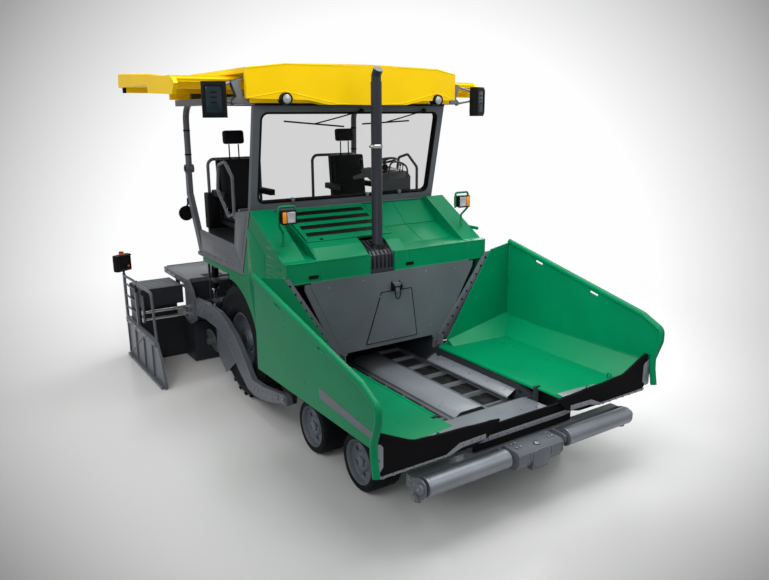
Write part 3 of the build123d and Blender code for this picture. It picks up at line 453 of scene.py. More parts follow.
    @classmethod
    def spun(cls, name: str, profile: Sequence[Flat], centre: Point, axis: str, steps: int = 64) -> Piece:
        """Turned piece from a closed profile.

        Args:
            name: Name of the piece.
            profile: Corners as (radius, offset along the axis).
            centre: Centre on the axis.
            axis: X, Y or Z.
            steps: Steps round the turn.

        Returns:
            The piece.
        """
        cls.clear()
        bpy.ops.mesh.primitive_circle_add(vertices=len(profile), fill_type="NOTHING")
        piece = bpy.context.object
        middle = Vector(centre)
        side = cls.AXES["X" if axis == "Z" else "Z"]
        for corner, (radius, offset) in zip(piece.data.vertices, profile):
            corner.co = middle + side * radius + cls.AXES[axis] * offset
        cls.only(piece)
        bpy.ops.object.mode_set(mode="EDIT")
        bpy.ops.mesh.select_mode(type="VERT")
        bpy.ops.mesh.select_all(action="SELECT")
        bpy.ops.mesh.spin(steps=steps, angle=math.tau, center=middle, axis=cls.AXES[axis])
        bpy.ops.mesh.select_all(action="SELECT")
        bpy.ops.mesh.remove_doubles(threshold=1e-5)
        cls.done()
        piece.name = name
        bpy.ops.object.shade_smooth_by_angle(angle=math.radians(30.0))
        return piece

    @classmethod
    def pipe(cls, name: str, points: Sequence[Point], radius: float) -> Piece:
        """Bent bar along a smooth route.

        Args:
            name: Name of the piece.
            points: Control points of the route.
            radius: Radius of the bar.

        Returns:
            The piece.
        """
        cls.clear()
        curve = bpy.data.curves.new(name, "CURVE")
        curve.dimensions = "3D"
        route = curve.splines.new("NURBS")
        route.points.add(len(points) - 1)
        for spot, point in zip(route.points, points):
            spot.co = (*point, 1.0)
        route.order_u = 3
        route.use_endpoint_u = True
        route.resolution_u = 6
        curve.bevel_depth = radius
        curve.bevel_resolution = 5
        curve.use_fill_caps = True
        piece = bpy.data.objects.new(name, curve)
        bpy.context.scene.collection.objects.link(piece)
        cls.only(piece)
        bpy.ops.object.convert(target="MESH")
        piece = bpy.context.object
        piece.name = name
        cls.edit(piece)
        bpy.ops.mesh.remove_doubles(threshold=1e-5)
        cls.done()
        bpy.ops.object.shade_smooth_by_angle(angle=math.radians(40.0))
        return piece

    @classmethod
    def copies(cls, name: str, model: Piece, places: Sequence[Matrix]) -> Piece:
        """One piece made of moved copies of a model, each with its own mesh; the model goes.

        Args:
            name: Name of the piece.
            model: The model, about the origin.
            places: One matrix for each copy.

        Returns:
            The piece.
        """
        made = []
        for place in places:
            copy = model.copy()
            copy.data = model.data.copy()
            copy.data.transform(place)
            bpy.context.scene.collection.objects.link(copy)
            made.append(copy)
        bpy.data.objects.remove(model)
        return cls.join(name, made)

    @classmethod
    def join(cls, name: str, pieces: Sequence[Piece]) -> Piece:
        """Several pieces as one.

        Args:
            name: Name of the whole.
            pieces: The pieces.

        Returns:
            The whole.
        """
        cls.clear()
        for piece in pieces:
            piece.select_set(True)
        bpy.context.view_layer.objects.active = pieces[0]
        if len(pieces) > 1:
            bpy.ops.object.join()
        whole = bpy.context.object
        whole.name = name
        return whole

    @classmethod
    def mirrored(cls, piece: Piece, name: str) -> Piece:
        """The twin of a piece on the machine's other side.

        Args:
            piece: The piece.
            name: Name of the twin.

        Returns:
            The twin.
        """
        twin = piece.copy()
        twin.data = piece.data.copy()
        twin.data.transform(Matrix.Scale(-1.0, 4, (0.0, 1.0, 0.0)))
        bpy.context.scene.collection.objects.link(twin)
        cls.edit(twin)
        cls.done()
        twin.name = name
        return twin

    @classmethod
    def carve(cls, piece: Piece, tools: Sequence[Piece]) -> Piece:
        """Cuts tools out of a piece; the tools go.

        Args:
            piece: The piece.
            tools: What is cut out.

        Returns:
            The piece.
        """
        for tool in tools:
            cls.only(piece)
            cut = piece.modifiers.new("cut", "BOOLEAN")
            cut.operation = "DIFFERENCE"
            cut.solver = "EXACT"
            cut.object = tool
            bpy.ops.object.modifier_apply(modifier=cut.name)
            bpy.data.objects.remove(tool)
        return piece

    @classmethod
    def bolts(cls, name: str, spots: Sequence[Point], facing: Point, size: float = 0.012) -> Piece:
        """Hexagon bolt heads on washers.

        Args:
            name: Name of the piece.
            spots: Where each stands.
            facing: Direction of the heads.
            size: Radius of a head.

        Returns:
            The piece.
        """
        cls.clear()
        bpy.ops.mesh.primitive_cylinder_add(
            vertices=6, radius=size, depth=size, location=(0.0, 0.0, size * 0.5))
        head = cls.soften(cls.settle(bpy.context.object, name), size * 0.12, 1)
        cls.framed(head, UPWARD, size * size, (size * 0.22, -size * 0.12))
        washer = cls.spun("washer", [(size * 0.6, -size * 0.2), (size * 1.45, -size * 0.2),
                                     (size * 1.45, size * 0.1), (size * 0.6, size * 0.15)], (0.0, 0.0, 0.0),
                          "Z", 18)
        model = cls.join(name, [head, washer])
        turn = Vector(facing).to_track_quat("Z", "Y").to_matrix().to_4x4()
        return cls.copies(name, model, [Matrix.Translation(spot) @ turn for spot in spots])


class Group:
    """A sub-assembly, which places its finished pieces on the machine and counts them."""

    placed: ClassVar[int] = 0

    def build(self) -> None:
        """Makes the sub-assembly's pieces."""
        raise NotImplementedError

    def put(self, piece: Piece, finish: Finish, body: str = "chassis", *stands_for: str) -> Piece:
        """Gives a piece its finish and the body it rides on.

        Args:
            piece: The piece.
            finish: Its finish.
            body: The body it rides on.
            stands_for: Carried parts that it replaces.

        Returns:
            The piece.
        """
        piece.data.materials.clear()
        piece.data.materials.append(finish.material())
        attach(piece, body)
        if stands_for:
            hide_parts(*stands_for)
        Group.placed += 1
        LOG.info("%s on %s: %d faces", piece.name, body, len(piece.data.polygons))
        return piece

    def pair(self, piece: Piece, finish: Finish, body: str = "chassis", *stands_for: str) -> None:
        """Places a right-hand piece and its twin on the left.

        Args:
            piece: The right-hand piece, named for that side.
            finish: Their finish.
            body: Their body; a body that ends in _right has a twin that ends in _left.
            stands_for: Carried parts of the right side that the pair replaces.
        """
        twin = Bench.mirrored(piece, piece.name.replace("right", "left"))
        self.put(piece, finish, body, *stands_for)
        self.put(twin, finish, body.replace("_right", "_left"), *(
            name.replace("_right", "_left") for name in stands_for))


# ---------------------- camera, light and floor
@dataclass
class Studio:
    """Pale floor that fades into a pale surround, both with painted shade towards the edges of the view, soft
    lamps and the camera.
    """

    eye: Point = (6.782, -4.051, 3.247)
    azimuth: float = 56.29
    pitch: float = 14.17
    roll: float = 0.23
    lens: float = 32.61
    sensor: float = 36.0
    # spread and shine set the painted shade towards the edges of the view; reach and the range after it set
    # the painted shade that darkens the floor near the eye.
    spread: Flat = (0.825, 0.93)
    shine: Flat = (0.36, 1.0)
    ambient: float = 0.62
    reach: Flat = (4.2, 9.8)
    painted_near_shade: Flat = (0.54, 0.86)
    fade: Flat = (3.2, 8.5)
    white: tuple[float, ...] = (0.99, 0.99, 1.0, 1.0)

    def build(self) -> None:
        """Sets up everything round the machine."""
        self.camera()
        self.surround()
        self.floor()
        self.lamps()
        bpy.context.scene.view_settings.view_transform = "Standard"

    def camera(self) -> None:
        """The camera, level but for a trace of roll."""
        bpy.ops.object.camera_add(location=self.eye)
        camera = bpy.context.object
        camera.rotation_euler = (math.radians(90.0 - self.pitch), math.radians(self.roll),
                                 math.radians(self.azimuth))
        camera.data.lens = self.lens
        camera.data.sensor_width = self.sensor
        camera.data.clip_end = 300.0
        bpy.context.scene.camera = camera

    def falloff(self, tree: Tree, direction: Socket) -> Socket:
        """Painted shade of the surround and the floor: full brightness in the middle of the set and less
        towards its edges.

        Args:
            tree: The nodes it is made in.
            direction: Direction seen from the eye, of any length.

        Returns:
            The brightness.
        """
        down, turn = math.radians(self.pitch), math.radians(self.azimuth)
        axis = (-math.sin(turn) * math.cos(down), math.cos(turn) * math.cos(down), -math.sin(down))
        unit = node(tree, "ShaderNodeVectorMath", {0: direction}, operation="NORMALIZE").outputs["Vector"]
        along = node(tree, "ShaderNodeVectorMath", {0: unit, 1: axis}, operation="DOT_PRODUCT")
        return self.graded(tree, along.outputs["Value"], self.spread, self.shine)

    @staticmethod
    def graded(tree: Tree, value: Socket, given: Flat, wanted: Flat = (0.0, 1.0),
               kind: str = "LINEAR") -> Socket:
        """One range of numbers mapped onto another.

        Args:
            tree: The nodes it is made in.
            value: The number.
            given: Its range.
            wanted: The range of the result.
            kind: How it runs between them.

        Returns:
            The result.
        """
        span = node(tree, "ShaderNodeMapRange", {
            "Value": value, "From Min": given[0], "From Max": given[1], "To Min": wanted[0],
            "To Max": wanted[1]}, interpolation_type=kind)
        return span.outputs["Result"]

    @staticmethod
    def length(tree: Tree, line: Socket) -> Socket:
        """Length of a vector."""
        return node(tree, "ShaderNodeVectorMath", {0: line}, operation="LENGTH").outputs["Value"]

    def surround(self) -> None:
        """A world that lights evenly; seen directly, it carries painted shade: pale in the middle of the set
        and greyer at its edges.
        """
        world = bpy.data.worlds.new("studio")
        bpy.context.scene.world = world
        world.use_nodes = True
        tree = world.node_tree
        back = tree.nodes["Background"]
        around = node(tree, "ShaderNodeTexCoord").outputs["Generated"]
        path = node(tree, "ShaderNodeLightPath")
        seen = node(tree, "ShaderNodeMath", {
            0: path.outputs["Is Camera Ray"], 1: path.outputs["Is Transmission Ray"]}, operation="MAXIMUM")
        choice = node(tree, "ShaderNodeMix", {
            "Factor": seen.outputs["Value"], "A": self.ambient, "B": self.falloff(tree, around)})
        tree.links.new(choice.outputs["Result"], back.inputs["Strength"])
        back.inputs["Color"].default_value = self.white

    def floor(self) -> None:
        """The floor, a wide pale sheet just under the wheels that fades into the surround; its colour carries
        painted shade, darker near the eye and towards the edges of the view, and far off it glows with the
        surround's painted brightness.
        """
        Bench.clear()
        bpy.ops.mesh.primitive_circle_add(vertices=96, radius=140.0, fill_type="NGON",
                                          location=(0.0, 0.0, -0.001))
        floor = bpy.context.object
        floor.name = "studio_floor"
        made = bpy.data.materials.new("studio_floor")
        made.use_nodes = True
        tree = made.node_tree
        shader = tree.nodes["Principled BSDF"]
        shader.inputs["Roughness"].default_value = 0.22
        shader.inputs["Specular IOR Level"].default_value = 0.3
        place = node(tree, "ShaderNodeTexCoord").outputs["Object"]
        away = node(tree, "ShaderNodeVectorMath", {0: place, 1: self.eye}, operation="SUBTRACT")
        offset = away.outputs["Vector"]
        # Painted shade: the floor's colour falls off towards the edges of the view and near the eye.
        bright = self.falloff(tree, offset)
        near = self.graded(tree, self.length(tree, offset), self.reach, self.painted_near_shade, "SMOOTHSTEP")
        tone = node(tree, "ShaderNodeMath", {0: bright, 1: near}, operation="MULTIPLY")
        tree.links.new(tone.outputs["Value"], shader.inputs["Base Color"])
        glow = node(tree, "ShaderNodeEmission", {"Color": self.white, "Strength": bright})
        edge = self.graded(tree, self.length(tree, place), self.fade, kind="SMOOTHSTEP")
        blend = node(tree, "ShaderNodeMixShader", {
            "Fac": edge, 1: shader.outputs["BSDF"], 2: glow.outputs["Emission"]})
        tree.links.new(blend.outputs["Shader"], tree.nodes["Material Output"].inputs["Surface"])
        floor.data.materials.append(made)

    def lamps(self) -> None:
        """Large soft lamps: one overhead, one high in front, one behind, and two that fill the hopper."""
        for name, place, aim, size, watts, spread in (
            ("top", (0.5, 1.0, 8.5), (0.3, 0.0, 0.0), 6.5, 560.0, 180.0),
            ("key", (4.0, -7.0, 7.5), (0.5, 0.0, 1.0), 4.0, 210.0, 180.0),
            ("rim", (-6.0, 6.5, 6.0), (0.0, 0.0, 1.5), 5.0, 330.0, 180.0),
            ("hopper", (8.0, 3.5, 6.5), (1.8, 0.0, 0.8), 4.0, 90.0, 180.0),
            ("wing", (2.5, -1.15, 2.0), (1.9, 1.7, 1.3), 1.0, 15.0, 100.0),
        ):
            data = bpy.data.lights.new(name, "AREA")
            data.shape = "SQUARE"
            data.size = size
            data.energy = watts
            data.spread = math.radians(spread)
            lamp = bpy.data.objects.new(name, data)
            bpy.context.scene.collection.objects.link(lamp)
            lamp.location = place
            lamp.visible_camera = False
            lamp.rotation_euler = (Vector(aim) - Vector(place)).to_track_quat("-Z", "Y").to_euler()


# ---------------------- finishes of the carried parts
CARRIED = {
    GREEN: ("body_shell", "hood_lid", "hopper_wing_*"),
    YELLOW: ("roof_shell", "canopy_*"),
    GREY: ("hopper_rear_plate", "operator_platform", "roof_frame", "handrails", "windscreen_frame",
           "tow_arms", "end_gate_*", "operator_console", "push_beam", "screed_deck"),
    WORN: ("front_apron", "conveyor_flights", "auger_*"),
    DARK: ("main_frame", "knuckle_*", "screed_body", "extension_*"),
    BLACK: ("lift_barrel_*",),
    TYRE: ("rear_tyre_*", "small_wheel_*"),
    FLAP: ("wing_flap_*", "apron_flap"),
    WHEEL: ("rear_rim_*",),
    STEEL: ("push_roller_*",),
    CHROME: ("lift_rod_*",),
    CAST: ("engine_block",),
    STACK: ("exhaust_stack",),
    GLASS: ("windscreen_glass",),
    SEAT: ("seat_cushions_*",),
    PLASTIC: ("mirrors", "lamps", "seat_frame_*", "remote_box_*"),
}
GUIDES = ((-2.13, 0.68), (-2.13, 0.775))  # guide tubes of the screed's extensions, (x, z)
GUIDE_REACH = 0.0235


def chromed_guides(base: bpy.types.Material, bars: Sequence[Flat], radius: float) -> bpy.types.Material:
    """A finish that turns to chrome on round bars along Y.

    Args:
        base: The finish elsewhere.
        bars: The bars' axes, (x, z).
        radius: Reach of the chrome round each axis.

    Returns:
        The material, made once.
    """
    name = f"{base.name}_chromed"
    if name in bpy.data.materials:
        return bpy.data.materials[name]
    made = base.copy()
    made.name = name
    tree = made.node_tree
    shader = tree.nodes["Principled BSDF"]
    place = node(tree, "ShaderNodeTexCoord").outputs["Object"]
    flat = node(tree, "ShaderNodeVectorMath", {0: place, 1: (1.0, 0.0, 1.0)}, operation="MULTIPLY")
    inside = {}
    for k, (x, z) in enumerate(bars):
        away = node(tree, "ShaderNodeVectorMath", {0: flat.outputs["Vector"], 1: (x, 0.0, z)},
                    operation="DISTANCE")
        near = node(tree, "ShaderNodeMath", {0: away.outputs["Value"], 1: radius}, operation="LESS_THAN")
        inside[k] = near.outputs["Value"]
    on_bar = node(tree, "ShaderNodeMath", inside, operation="MAXIMUM").outputs["Value"]
    chrome = (("Base Color", (*CHROME.colour, 1.0), "RGBA", MIX_COLOURS),
              ("Roughness", 0.16, "FLOAT", MIX_NUMBERS))
    for socket, value, kind, (below, above, result) in chrome:
        bare = shader.inputs[socket].links[0].from_socket
        blend = node(tree, "ShaderNodeMix", {"Factor": on_bar, below: bare, above: value}, data_type=kind)
        tree.links.new(blend.outputs[result], shader.inputs[socket])
    tree.links.new(on_bar, shader.inputs["Metallic"])
    return made


def dress_carried(nodes: dict[str, Piece]) -> None:
    """Gives every carried part its finish.

    Args:
        nodes: The frame's parts by name.
    """
    for finish, names in CARRIED.items():
        for pattern in names:
            stem = pattern.rstrip("*")
            for name, part in nodes.items():
                if name == pattern or (pattern.endswith("*") and name.startswith(stem)):
                    for slot in part.material_slots:
                        slot.material = finish.material()
    for side in SIDES:
        for slot in nodes[f"extension_{side}"].material_slots:
            slot.material = chromed_guides(DARK.material(), GUIDES, GUIDE_REACH)


# ---------------------- wheels
@dataclass
class Wheels(Group):
    """Treaded rear tyres with their nuts, and the small bogie wheels as ring and disc."""

    axle: Point = (-0.597, -0.981, 0.684)
    lugs: int = 26
    bogie_x: tuple[tuple[str, float], ...] = (("rear", 1.129), ("front", 2.004))
    bogie_y: float = -1.009
    bogie_r: float = 0.272
    nut_ring: float = 0.155
    hole_ring: float = 0.138
    hub_ring: float = 0.064

    def build(self) -> None:
        """Makes all wheels."""
        self.pair(self.tyre(), TYRE, "rear_wheel_right", "rear_tyre_right")
        self.pair(self.nuts(), ZINC, "rear_wheel_right")
        for label, x in self.bogie_x:
            body = f"small_wheel_{label}_right"
            self.pair(self.ring(label, x), TYRE, body)
            self.pair(self.disc(label, x), WHEEL, body, f"small_wheel_{label}_right")
            self.pair(self.small_nuts(label, x), ZINC, body)

    @staticmethod
    def circle(middle: Point, radius: float, count: int, start: float = 0.0) -> list[Point]:
        """Points evenly round an axis along Y.

        Args:
            middle: The middle of their ring.
            radius: Its radius.
            count: How many there are.
            start: Where the first one stands, in steps.

        Returns:
            The points.
        """
        x, y, z = middle
        turns = [math.tau * (k + start) / count for k in range(count)]
        return [(x + radius * math.cos(turn), y, z + radius * math.sin(turn)) for turn in turns]

    def tyre(self) -> Piece:
        """Rear tyre: carcass with ribs on the side walls and slanted lugs on the tread.

        Returns:
            The piece.
        """
        half = [(0.338, 0.134), (0.35, 0.16), (0.392, 0.176), (0.4, 0.18), (0.412, 0.18), (0.42, 0.177),
                (0.54, 0.178), (0.548, 0.18), (0.566, 0.18), (0.574, 0.177), (0.626, 0.168), (0.65, 0.15),
                (0.662, 0.105)]
        profile = [(radius, -offset) for radius, offset in half] + list(reversed(half))
        carcass = Bench.spun("rear_tyre_tread_right", profile, self.axle, "Y", 96)
        lugs = [Bench.sheet("lug", outline, "Z", 0.648, 0.6735, 0.004) for outline in (
            [(-0.02, -0.165), (0.022, -0.165), (0.05, -0.01), (0.02, -0.004)],
            [(0.134, 0.165), (0.092, 0.165), (0.064, 0.01), (0.092, 0.004)])]
        pitch = math.tau / self.lugs
        places = [Matrix.Translation(self.axle) @ Matrix.Rotation(pitch * step, 4, "Y")
                  for step in range(self.lugs)]
        tread = Bench.copies("tread", Bench.join("lug", lugs), places)
        return Bench.join("rear_tyre_tread_right", [carcass, tread])

    def nuts(self) -> Piece:
        """Ring of wheel nuts with a hub cap.

        Returns:
            The piece.
        """
        x, y, z = self.axle
        spots = self.circle((x, y - 0.054, z), self.nut_ring, 10)
        ring = Bench.bolts("rear_wheel_nuts_right", spots, RIGHTWARD, 0.016)
        cap = Bench.rod("cap", (x, y - 0.098, z), (x, y - 0.118, z), 0.07, 0.006, 40)
        return Bench.join("rear_wheel_nuts_right", [ring, cap])

    def ring(self, label: str, x: float) -> Piece:
        """Solid rubber ring of a small wheel.

        Args:
            label: Which wheel of the bogie.
            x: Its axle.

        Returns:
            The piece.
        """
        half = [(0.204, 0.146), (0.226, 0.149), (0.23, 0.1465), (0.24, 0.1465), (0.244, 0.149),
                (0.254, 0.147), (0.266, 0.136), (0.272, 0.118), (0.272, 0.006), (0.268, 0.003)]
        profile = [(radius, -offset) for radius, offset in half] + list(reversed(half))
        return Bench.spun(f"small_tyre_{label}_right", profile, (x, self.bogie_y, self.bogie_r), "Y", 80)

    def disc(self, label: str, x: float) -> Piece:
        """Dished steel disc of a small wheel with its lightening holes and hub.

        Args:
            label: Which wheel of the bogie.
            x: Its axle.

        Returns:
            The piece.
        """
        middle = (x, self.bogie_y, self.bogie_r)
        profile = [(0.036, -0.106), (0.078, -0.11), (0.084, -0.106), (0.1, -0.086), (0.172, -0.086),
                   (0.184, -0.098), (0.192, -0.132), (0.2, -0.146), (0.2055, -0.146), (0.2055, 0.144),
                   (0.196, 0.144), (0.188, 0.09), (0.186, -0.056), (0.178, -0.066), (0.06, -0.066),
                   (0.036, -0.06)]
        disc = Bench.spun(f"small_disc_{label}_right", profile, middle, "Y", 72)
        tools = [Bench.rod("tool", (a, y - 0.13, b), (a, y - 0.03, b), 0.024, 0.001)
                 for a, y, b in self.circle(middle, self.hole_ring, 6, 0.5)]
        Bench.carve(disc, [Bench.join("tools", tools)])
        caps = [Bench.rod("cap", (x, self.bogie_y - a, middle[2]), (x, self.bogie_y - b, middle[2]), radius,
                          edge) for a, b, radius, edge in (
            (0.098, 0.128, 0.046, 0.005), (0.03, 0.095, 0.052, 0.003))]
        return Bench.join(f"small_disc_{label}_right", [disc, *caps])

    def small_nuts(self, label: str, x: float) -> Piece:
        """Nuts round the hub of a small wheel.

        Args:
            label: Which wheel of the bogie.
            x: Its axle.

        Returns:
            The piece.
        """
        spots = self.circle((x, self.bogie_y - 0.109, self.bogie_r), self.hub_ring, 6)
        return Bench.bolts(f"small_wheel_nuts_{label}_right", spots, RIGHTWARD, 0.009)


# ---------------------- hopper wings, flaps and aprons
@dataclass
class Hopper(Group):
    """Clamp strips, stripe, hooks and bolts of the receiving hopper."""

    flap_x: float = 2.916
    wall_y: float = -1.6
    plate_lean: float = 78.0 / 840.0

    def build(self) -> None:
        """Makes the hopper's fine parts."""
        self.flaps()
        self.wings()
        self.apron()
        self.conveyors()
        self.rear_plate()

    def on_plate(self, y: float, z: float, proud: float = 0.0) -> Point:
        """A point on the leaning front of the plate behind the hopper."""
        return (0.833 + self.plate_lean * (z - 0.8) + proud, y, z)

    def leaned(self, piece: Piece, proud: float) -> Piece:
        """Stands a sheet drawn about (0, y, 0) against the leaning plate, its zero at height 0.8."""
        return Bench.moved(piece, (0.833 + proud, 0.0, 0.8), (0.0, math.atan(self.plate_lean), 0.0))

    def flaps(self) -> None:
        """Clamped rubber flap of each wing, with its bolts and wavy lip."""
        wing = "hopper_wing_right"
        # Steel strips that clamp the rubber flap, and the bracket at its outer end.
        x = self.flap_x
        strip = Bench.sheet("flap_clamp_right", [
            (-1.535, 0.668), (-0.905, 0.665), (-0.772, 0.728), (-0.5, 0.735), (-0.5, 0.69), (-0.748, 0.684),
            (-0.875, 0.648), (-1.525, 0.648)], "X", x, x + 0.008)
        bracket = Bench.sheet("bracket", [(-1.592, 0.7), (-1.545, 0.69), (-1.5, 0.74), (-1.5, 0.9),
                                          (-1.52, 0.925), (-1.592, 0.95)], "X", x, x + 0.01)
        self.pair(Bench.join("flap_clamp_right", [strip, bracket]), LIGHT, wing)
        spots = [(-1.5 + 0.095 * k, 0.6575) for k in range(7)] + [
            (-0.735, 0.708), (-0.64, 0.711), (-0.545, 0.713)]
        spots += [(-1.56, 0.745), (-1.53, 0.8), (-1.56, 0.89)]
        self.pair(Bench.bolts("flap_bolts_right", [(x + 0.008, y, z) for y, z in spots], FORWARD, 0.009),
                  ZINC, wing)
        top = [(-1.556, 1.0), (-1.53, 1.016), (-1.498, 1.006), (-1.4, 0.944), (-1.3, 0.906), (-1.2, 0.872),
               (-1.08, 0.866), (-0.96, 0.85), (-0.82, 0.851), (-0.69, 0.846), (-0.56, 0.832), (-0.44, 0.834),
               (-0.352, 0.824)]
        low = [(y, z - 0.04) for y, z in reversed(top)]
        self.pair(Bench.sheet("flap_lip_right", top + low, "X", x - 0.018, x + 0.003, 0.004), FLAP, wing)

    def wings(self) -> None:
        """Stripe, hooks, weld beads and wear plate of each wing."""
        wing = "hopper_wing_right"
        y = self.wall_y
        self.pair(Bench.sheet("wing_stripe_right", [
            (2.15, 1.04), (2.925, 0.992), (2.938, 1.05), (2.15, 1.128)], "Y", y - 0.0022, y + 0.002, 0.0),
                  GREY, wing)
        # Two bent lifting hooks on the wing's floor.
        made = [Bench.pipe("hook", [(x, y, z - 0.006), (x, y, z + 0.04), (x + 0.012, y, z + 0.072),
                                    (x + 0.045, y, z + 0.07), (x + 0.05, y, z + 0.038)], 0.007)
                for x, y, z in ((2.76, -0.88, 0.722), (2.7, -1.25, 0.746))]
        self.pair(Bench.join("wing_hooks_right", made), GREEN, wing)
        # Weld beads where the wing's rear wall, gusset and floor meet.
        inner = self.wall_y + 0.018
        beads = (((1.18, -1.34, 0.76), (2.89, -1.338, 0.752), 0.005),
                 ((0.95, inner, 0.98), (0.95, inner, 1.76), 0.006),
                 ((1.3, inner + 0.002, 0.932), (2.9, inner + 0.002, 0.93), 0.006))
        self.pair(Bench.join("wing_beads_right", [Bench.rod("bead", *bead, 0.001, 12) for bead in beads]),
                  GREEN, wing)
        # Pale skin of the wear plate at the wing's front inner corner.
        corners = [(2.643, -0.002), (2.72, -0.42), (2.894, -0.42), (2.894, -0.002)]
        plate = Bench.sheet("wear_skin_right", corners, "Z", 0.0004, 0.0034, 0.0008)
        self.pair(Bench.moved(plate, (0.0, -0.615, 0.722), (-math.atan(0.043 / 0.675), 0.0, 0.0)), LIGHT,
                  wing)

    def apron(self) -> None:
        """Clamp strip, bolts, side seals and wear plate of the front apron; the wear plate's pale skin partly
        paints its sheen.
        """
        # Clamp strip of the apron's rubber flap, bent up at its ends.
        outline = [(-0.565, 0.64), (-0.47, 0.628), (0.47, 0.628), (0.565, 0.64), (0.565, 0.684),
                   (0.47, 0.672), (-0.47, 0.672), (-0.565, 0.684)]
        self.put(Bench.sheet("apron_clamp", outline, "X", 2.862, 2.87), LIGHT, "front_apron")
        low = [(2.87, -0.52 + 0.104 * k, 0.65 + (0.01 if k in (0, 10) else 0.0)) for k in range(11)]
        front = Bench.bolts("apron_bolts", low, FORWARD, 0.009)
        spots = [(2.76, y, 0.6615) for y in (-0.5, -0.3, -0.1, 0.1, 0.3, 0.5)]
        spots += [(2.56, y, 0.5975) for y in (-0.45, 0.45)]
        upper = Bench.bolts("upper", spots, (-0.6, 0.0, 0.8), 0.007)
        self.put(Bench.join("apron_bolts", [front, upper]), ZINC, "front_apron")
        # Rubber seal along the side of the apron.
        outline = [(2.33, 0.582), (2.7, 0.606), (2.832, 0.728), (2.846, 0.716), (2.712, 0.588), (2.33, 0.568)]
        self.pair(Bench.sheet("apron_seal_right", outline, "Y", -0.569, -0.56, 0.002), FLAP, "front_apron")
        # Smooth pale plate over the apron's bent sheet: partly the plate's own grey, partly a painted sheen
        # of its steel.
        outline = [(2.292, 0.5805), (2.699, 0.6045), (2.829, 0.7245), (2.831, 0.7215), (2.701, 0.6005),
                   (2.294, 0.5775)]
        self.put(Bench.sheet("apron_skin", outline, "Y", -0.566, 0.566, 0.0008), LIGHT, "front_apron")

    def conveyors(self) -> None:
        """Covers, mats and bolts of the two conveyors."""
        # Bright cover over the outer conveyor chain.
        outline = [(-0.5985, 0.6018), (-0.5985, 0.6045), (-0.4885, 0.5472), (-0.4875, 0.528), (-0.49, 0.528),
                   (-0.4902, 0.5452)]
        self.pair(Bench.sheet("chain_cover_right", outline, "X", 0.83, 2.134, 0.0008), LIGHT)
        # Bright cover over the ridge between the two conveyors.
        right = [(-0.19, 0.47), (-0.19, 0.504), (-0.128, 0.5462)]
        inside = [(-0.1272, 0.5432), (-0.1872, 0.503), (-0.1872, 0.47)]
        outline = right + [(-y, z) for y, z in reversed(right)] + [
            (-y, z) for y, z in reversed(inside)] + inside
        self.put(Bench.sheet("divider_cover", outline, "X", 0.3, 2.158, 0.0008), LIGHT)
        # Rubber mats seen between the conveyor's bars.
        made = [Bench.block("mat", (x + 0.066, -0.546, 0.4502), (min(x + 0.314, 2.128), -0.242, 0.458), 0.002)
                for x in (-1.49 + 0.32 * k for k in range(7, 12))]
        self.pair(Bench.join("conveyor_mats_right", made), PAD)
        spots = [(0.95 + 0.27 * k, -0.5435, 0.5755) for k in range(5)]
        self.pair(Bench.bolts("chain_cover_bolts_right", spots, (0.0, 0.46, 0.89), 0.007), ZINC)

    def rear_plate(self) -> None:
        """Hatch, latch and seals of the leaning plate behind the hopper."""
        hatch = [(-0.3, 0.905), (0.0, 0.905), (0.3, 0.905), (-0.19, 1.4), (0.195, 1.4), (-0.243, 1.15),
                 (0.248, 1.15)]
        spots = [self.on_plate(y, z, 0.006) for y, z in hatch]
        spots += [self.on_plate(y, z) for y, z in (
            (-0.62, 1.3), (0.62, 1.3), (-0.52, 0.95), (0.52, 0.95), (-0.8, 1.58), (-0.4, 1.6), (0.4, 1.6),
            (0.8, 1.58))]
        self.put(Bench.bolts("rear_plate_bolts", spots, (1.0, 0.0, -self.plate_lean), 0.008), ZINC)
        # Dark joint round the inspection hatch.
        corners = [self.on_plate(y, z, 0.0055) for y, z in (
            (-0.33, 0.88), (0.33, 0.88), (0.215, 1.44), (-0.17, 1.44))]
        self.put(Bench.join("hatch_joint", [
            Bench.rod("joint", a, b, 0.0042, 0.0008, 12) for a, b in zip(
            corners, corners[1:] + corners[:1])]), BLACK)
        # Latch of the hatch: two ears, a pin and a folding ring.
        x = self.on_plate(0.0, 1.48)[0]
        ears = [Bench.sheet("ear", [(x, 1.435), (x + 0.066, 1.455), (x + 0.066, 1.51), (x, 1.55)], "Y", y,
                            y + 0.01) for y in (-0.052, 0.042)]
        pin = Bench.rod("pin", (x + 0.045, -0.064, 1.49), (x + 0.045, 0.064, 1.49), 0.01)
        ring = Bench.pipe("ring", [(x + 0.05, -0.032, 1.482), (x + 0.06, -0.036, 1.39),
                                   (x + 0.054, 0.0, 1.35), (x + 0.06, 0.036, 1.39), (x + 0.05, 0.032, 1.482)],
                          0.006)
        self.put(Bench.join("hatch_latch", ears + [pin, ring]), BLACK)
        # Leaning strip between the rear plate and a wing.
        outline = [(-1.296, 0.924), (-0.86, 0.13), (-0.83, -0.058), (-0.6, -0.048), (-1.236, 0.924)]
        self.pair(self.leaned(Bench.sheet("hopper_seal_right", outline, "X", 0.0, 0.006), 0.0052), GREY)
        spots = [self.on_plate(-0.7 - 0.6425 * (z - 0.83), z, 0.0108)
                 for z in (0.83 + 0.092 * k for k in range(10))]
        self.pair(Bench.bolts("seal_bolts_right", spots, (1.0, 0.0, -self.plate_lean), 0.009), BLACK)
        # Rubber strip under the green front wall.
        self.put(Bench.block("front_wall_seal", (0.868, -1.16, 1.634), (0.893, 1.16, 1.6495), 0.003), FLAP)


